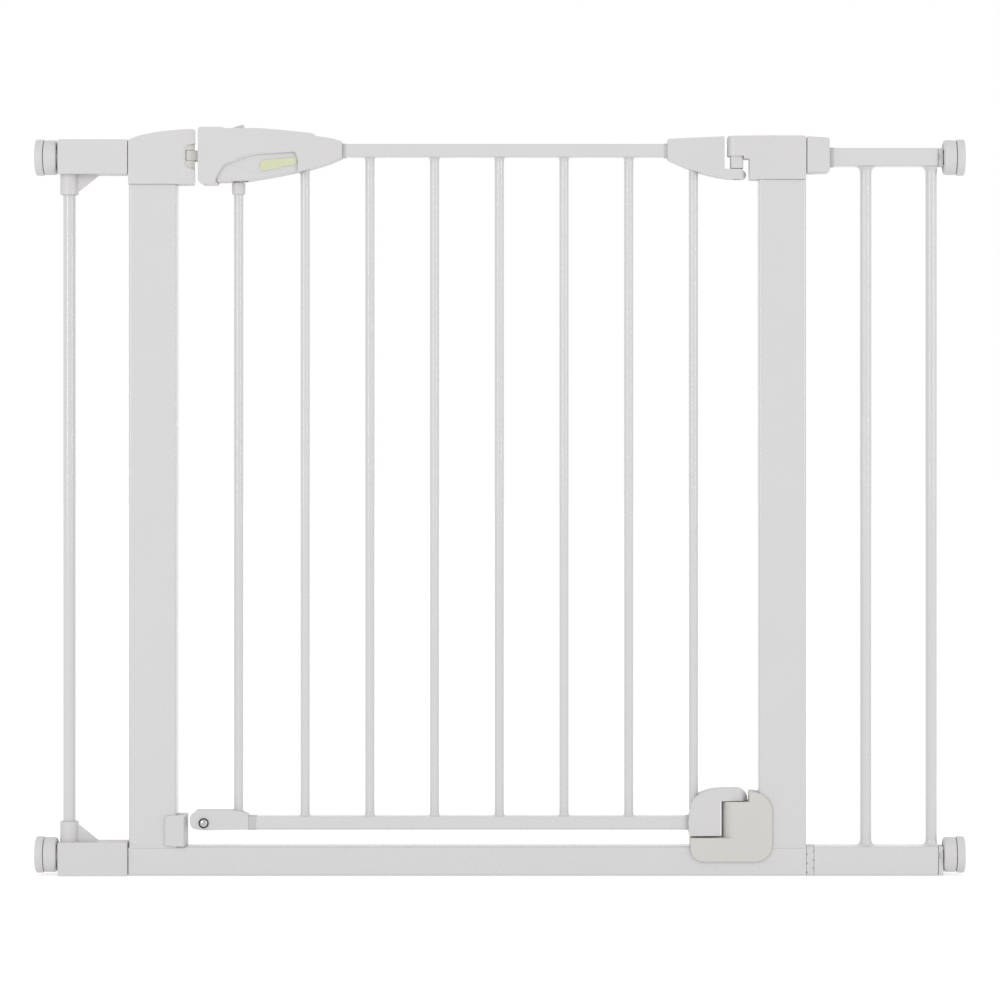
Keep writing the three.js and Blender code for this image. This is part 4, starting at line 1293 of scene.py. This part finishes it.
    def bolt(self) -> Solid:
        """The sliding bolt: its wedge tip, its pin and the bore for its spring."""
        z = self.bolt_z
        low, high = z - 5.1, z + 5.1
        body = Solid.plate(
            [(-319, low, 1.5), (-319, high, 1.5), (-284.8, high, 0.6), (-284.8, low, 0.6)], -14, 7,
        )
        plan = Solid.prism(
            [
                (-320, 8), (-284, 8), (-284, -7), (-307.3, -7), (-307.3, -11), (-318.6, -13.3),
                (-320, -12.4),
            ],
            700, 760,
        )
        body.keep(plan).soften(0.5, 3)
        pin = Solid.rod(2, -12, 12, 32).soften(0.3, 2).along_y(self.bolt_pin_x, z)
        return body.join(pin).cut(Solid.rod(3.7, -314, -280).along_x(z))

    def button(self) -> Solid:
        """The lock button: a ramp for the thumb, on a stem through the roof's slot."""
        ramp = Solid.plate(
            [(-272, 760.6), (-272, 761.4, 0.4), (-263, 764.3, 1.2), (-261.4, 764.3, 0.5), (-261.4, 760.6)],
            -5.5, 5.5,
        ).soften(0.45, 3, lambda p: p.z > 760.7)
        return ramp.join(
            Solid.block((-270, -2.6, 755), (-264, 2.6, 761)),
            Solid.block((-272, -5, 754.4), (-261.5, 5, 756.6)),
        )

    def screw(self, x: float, z: float) -> Solid:
        """A pan-head screw with a cross recess, seen on the rear shell."""
        head = Solid.turned(
            [(0, 0), (2.9, 0), (2.9, 0.5), (2.6, 1.1), (1.9, 1.5), (0, 1.7)], 40
        )
        head.cut(
            Solid.block((-1.7, -0.35, 0.7), (1.7, 0.35, 3)), Solid.block((-0.35, -1.7, 0.7), (0.35, 1.7, 3))
        )
        return head.along_y(x, z).shift(0, self.half_at(x) - 1.9, 0)

    def build(self) -> None:
        """Makes the shells, the lever, the bolt, the springs, the button and the screws."""
        body = self.body()
        screws = ((-298.5, 712.5), (-232.0, 751.0), (-177.0, 740.5))
        front = body.copy().keep(Solid.block((-400, -30, 600), (0, -0.15, 800)))
        front.piece("front_shell", "door", PLASTIC, "handle_front_shell")
        wells = [
            Solid.rod(3.6, 0, 10, 40).along_y(x, z).shift(0, self.half_at(x) - 1.95, 0)
            for x, z in screws
        ]
        rear = body.keep(Solid.block((-400, 0.15, 600), (0, 30, 800))).cut(*wells)
        rear.piece("rear_shell", "door", PLASTIC, "handle_rear_shell")
        for i, (x, z) in enumerate(screws, 1):
            self.screw(x, z).piece(f"shell_screw_{i}", "door", ZINC)
        pin = Solid.rod(2, -13.2, 13.2, 32).soften(0.3, 2).along_y(*self.pivot)
        pin.piece("lever_pin", "door", ZINC, "lever_pivot_pin")
        coil = Solid.coil(2.8, 0.5, -313.5, -272.1, 10).along_x(self.bolt_z)
        spring = coil.piece("bolt_return_spring", "door", ZINC, "bolt_spring")
        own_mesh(spring)
        self.lever().piece("lever", "lever", PLASTIC, "lift_lever")
        self.strip().piece("lever_glow_strip", "lever", GLOW, "glow_strip")
        self.bolt().piece("sliding_bolt", "bolt", IVORY, "latch_bolt")
        self.button().piece("thumb_lock", "lock", PLASTIC, "lock_button")


@dataclass
class DoorFittings:
    """The door's hinge arms, and the block whose nose enters the catch."""

    upper_half: float = 10.8
    lower_half: float = 13.5
    last_bar_x: float = 197.0
    rivet_at: tuple[float, float] = (-301.5, 53.5)

    def tongue(self, left: float, face: float, half: float, radius: float, z0: float, z1: float) -> Solid:
        """A form that narrows towards a face and goes on as a round-ended tongue."""
        blend = face - 14
        plan = [
            (left, -half), (blend, -half, 6), (face, -radius - (half - radius) * 0.45, 8),
            (HINGE_X, -radius), (HINGE_X, radius), (face, radius + (half - radius) * 0.45, 8),
            (blend, half, 6), (left, half),
        ]
        return Solid.prism(plan, z0, z1).join(around(HINGE_X, radius, z0, z1, 96))

    def upper_arm(self) -> Solid:
        """The arm that takes the upper rail and turns on the upper pin."""
        face = HINGE_X - 12.6
        side = Solid.plate(
            [
                (170.4, 749.5, 1.2), (face, 752.2, 1.2), (face, 719.2, 1), (246, 719.2, 2),
                (251.2, 714, 2), (249, 708.8, 2), (236, 709, 3), (225, 710.3, 5), (210, 713.5, 6),
                (194.5, 718.3, 6), (179.3, 724.8, 5), (170.4, 728.9, 1.2),
            ],
            -self.upper_half, self.upper_half,
        )
        return (
            side.keep(self.tongue(160, face, self.upper_half, 10.2, 700, 760)).soften(0.9, 3)
            .cut(
                Solid.block((160, -9.3, 730.9), (190.3, 9.3, 745)),
                around(self.last_bar_x, 5.15, 700, 723.5),
                around(HINGE_X, 3.4, 700, 721),
                around(HINGE_X, 4.6, 700, 713),
            )
        )

    def lower_arm(self) -> Solid:
        """The arm that takes the lower rail and rests on the bracket's column."""
        face = HINGE_X - 16.7
        under = 76.0
        side = Solid.plate(
            [
                (192.3, 40.8, 1.2), (191.3, 58, 4), (194, 66, 4), (194.6, 79, 8), (211, 86.6, 6),
                (225, 88.4, 6), (246, 88.4, 4), (251.7, 82, 3), (251.7, under, 0.6), (face, under),
                (face, 40.8, 1.2),
            ],
            -self.lower_half, self.lower_half,
        )
        return (
            side.keep(self.tongue(180, face, self.lower_half, 10.7, 30, 100)).soften(0.9, 3)
            .cut(
                Solid.block((180, -9.3, 46.4), (206.3, 9.3, 60.5)),
                around(self.last_bar_x, 5.15, 66, 100),
                around(HINGE_X, 4.4, 70, 85.8),
            )
        )

    def latch_block(self) -> Solid:
        """The lower block at the latch side, with the spigot that holds it in the rail."""
        body = Solid.plate(
            [
                (-316.2, 57, 3), (-314.3, 62.1, 0.5), (-313.4, 62.2, 0.4), (-309.6, 66, 1),
                (-266, 66.2, 4), (-256.3, 61.5, 1), (-256.3, 46.9, 0.8), (-279, 46.6, 4),
                (-302.5, 45.9, 5), (-314, 48, 3),
            ],
            -10, 10,
        ).soften(1.8, 4)
        return body.join(Solid.block((-257.3, -7.5, 48.2), (-238, 7.5, 58.7))).cut(
            around(-266.8, 5.15, 52, 70),
            Solid.rod(3.2, -12, 12).along_y(*self.rivet_at),
        )

    def rivet(self) -> Solid:
        """The domed rivet through the lower block."""
        dome = [(4.3, 10.6), (4.1, 11.3), (3.4, 12.0), (2.2, 12.5), (1.1, 12.7), (0, 12.75)]
        rear = [(r, -z) for r, z in reversed(dome)]
        return Solid.turned([*rear, (2.8, -10.3), (2.8, 10.3), *dome], 48).along_y(*self.rivet_at)

    def painted_reflection_ring(self, side: int) -> Solid:
        """A cup-shaped ring round one end of the rivet, near-black as painted dark reflection and shade on the chrome
        dome's rim.
        """
        ring = [
            (3.05, 10.2), (5.0, 10.2), (5.1, 10.9), (4.9, 11.4), (4.6, 11.3), (4.4, 10.4), (3.05, 10.4),
        ]
        profile = [(r, side * y) for r, y in ring]
        return Solid.turned([*profile, profile[0]], 48).along_y(*self.rivet_at)

    def build(self) -> None:
        """Makes the arms, the block, its rivet and the near-black rings of painted reflection round it."""
        self.upper_arm().piece("upper_arm", "door", PLASTIC, "upper_hinge_arm")
        self.lower_arm().piece("lower_arm", "door", PLASTIC, "lower_hinge_arm")
        self.latch_block().piece("latch_nose_block", "door", PLASTIC, "lower_latch_block")
        self.rivet().piece("nose_rivet", "door", CHROME, "block_rivet")
        # The rings' near-black is painted reflection and shade on the rivet's rim.
        for name, side in (("front", -1), ("rear", 1)):
            self.painted_reflection_ring(side).piece(f"rivet_painted_reflection_ring_{name}", "door", DARK_RIVET_RING_PAINTED_REFLECTION)


# ---- The studio -------------------------------------------------------------------------------


@dataclass
class Studio:
    """A pale floor, soft light and the camera."""

    eye: Corner = (0.071, -3.598, 0.423)
    lens: float = 127.0
    shift: tuple[float, float] = (-0.0699, -0.0401)
    sky: float = 1.0

    def floor(self) -> None:
        """Makes the floor, as bright as the background behind it."""
        half = 30.0
        bm = bmesh.new()
        bmesh.ops.create_grid(bm, x_segments=1, y_segments=1, size=half)
        mesh = bpy.data.meshes.new("floor")
        bm.to_mesh(mesh)
        bm.free()
        floor = bpy.data.objects.new("floor", mesh)
        bpy.context.scene.collection.objects.link(floor)
        bench = NodeBench("floor_white")
        paint = bench.add("ShaderNodeBsdfDiffuse", {"Color": (0.45, 0.45, 0.45, 1.0)})
        glow = bench.add("ShaderNodeEmission", {"Strength": 0.62})
        both = bench.add("ShaderNodeAddShader")
        out = bench.add("ShaderNodeOutputMaterial")
        bench.join(paint.outputs[0], both.inputs[0])
        bench.join(glow.outputs[0], both.inputs[1])
        bench.join(both.outputs[0], out.inputs["Surface"])
        mesh.materials.append(bench.material)

    def lamp(self, name: str, place: Corner, aim: Corner, size: Corner, power: float) -> None:
        """Adds a soft rectangular light.

        Args:
            name: the light's name.
            place: where it stands.
            aim: the point that it faces.
            size: its width and height.
            power: its power in watts.
        """
        light = bpy.data.lights.new(name, "AREA")
        light.shape = "RECTANGLE"
        light.size, light.size_y = size
        light.energy = power
        lamp = bpy.data.objects.new(name, light)
        lamp.location = place
        way = Vector(aim) - Vector(place)
        lamp.rotation_euler = way.to_track_quat("-Z", "Y").to_euler()
        bpy.context.scene.collection.objects.link(lamp)

    def build(self) -> None:
        """Makes the floor, the lights, the background and the camera."""
        scene = bpy.context.scene
        self.floor()
        world = bpy.data.worlds.new("studio")
        world.use_nodes = True
        sky = world.node_tree.nodes["Background"]
        sky.inputs["Color"].default_value = (1, 1, 1, 1)
        sky.inputs["Strength"].default_value = self.sky
        scene.world = world
        aim = (0, 0, 0.4)
        self.lamp("left_box", (-1.9, -2.6, 1.2), aim, (0.26, 1.8), 21)
        self.lamp("right_box", (2.4, -1.7, 1.2), aim, (0.26, 1.8), 15)
        data = bpy.data.cameras.new("camera")
        data.lens = self.lens
        data.sensor_width = 36.0
        data.shift_x, data.shift_y = self.shift
        camera = bpy.data.objects.new("camera", data)
        camera.location = self.eye
        camera.rotation_euler = (math.pi / 2, 0, 0)
        scene.collection.objects.link(camera)
        scene.camera = camera
        scene.view_settings.view_transform = "Standard"


def main() -> None:
    """Builds the studio, then the gate."""
    logging.basicConfig(level=logging.INFO, format="%(message)s")
    Studio().build()
    for part in (
        WeldedFrame(), PostCaps(), FootFittings(), LeftExtension(), RightExtension(),
        SpindleSet("left_top", TOP_AXIS_Z), SpindleSet("left_bottom", LOW_AXIS_Z),
        SpindleSet("right_top", TOP_AXIS_Z), SpindleSet("right_bottom", LOW_AXIS_Z),
        DoorLeaf(), Handle(), DoorFittings(),
    ):
        part.build()
        LOG.info("%s is done", type(part).__name__)
    bpy.context.view_layer.update()


if __name__ == "__main__":
    main()
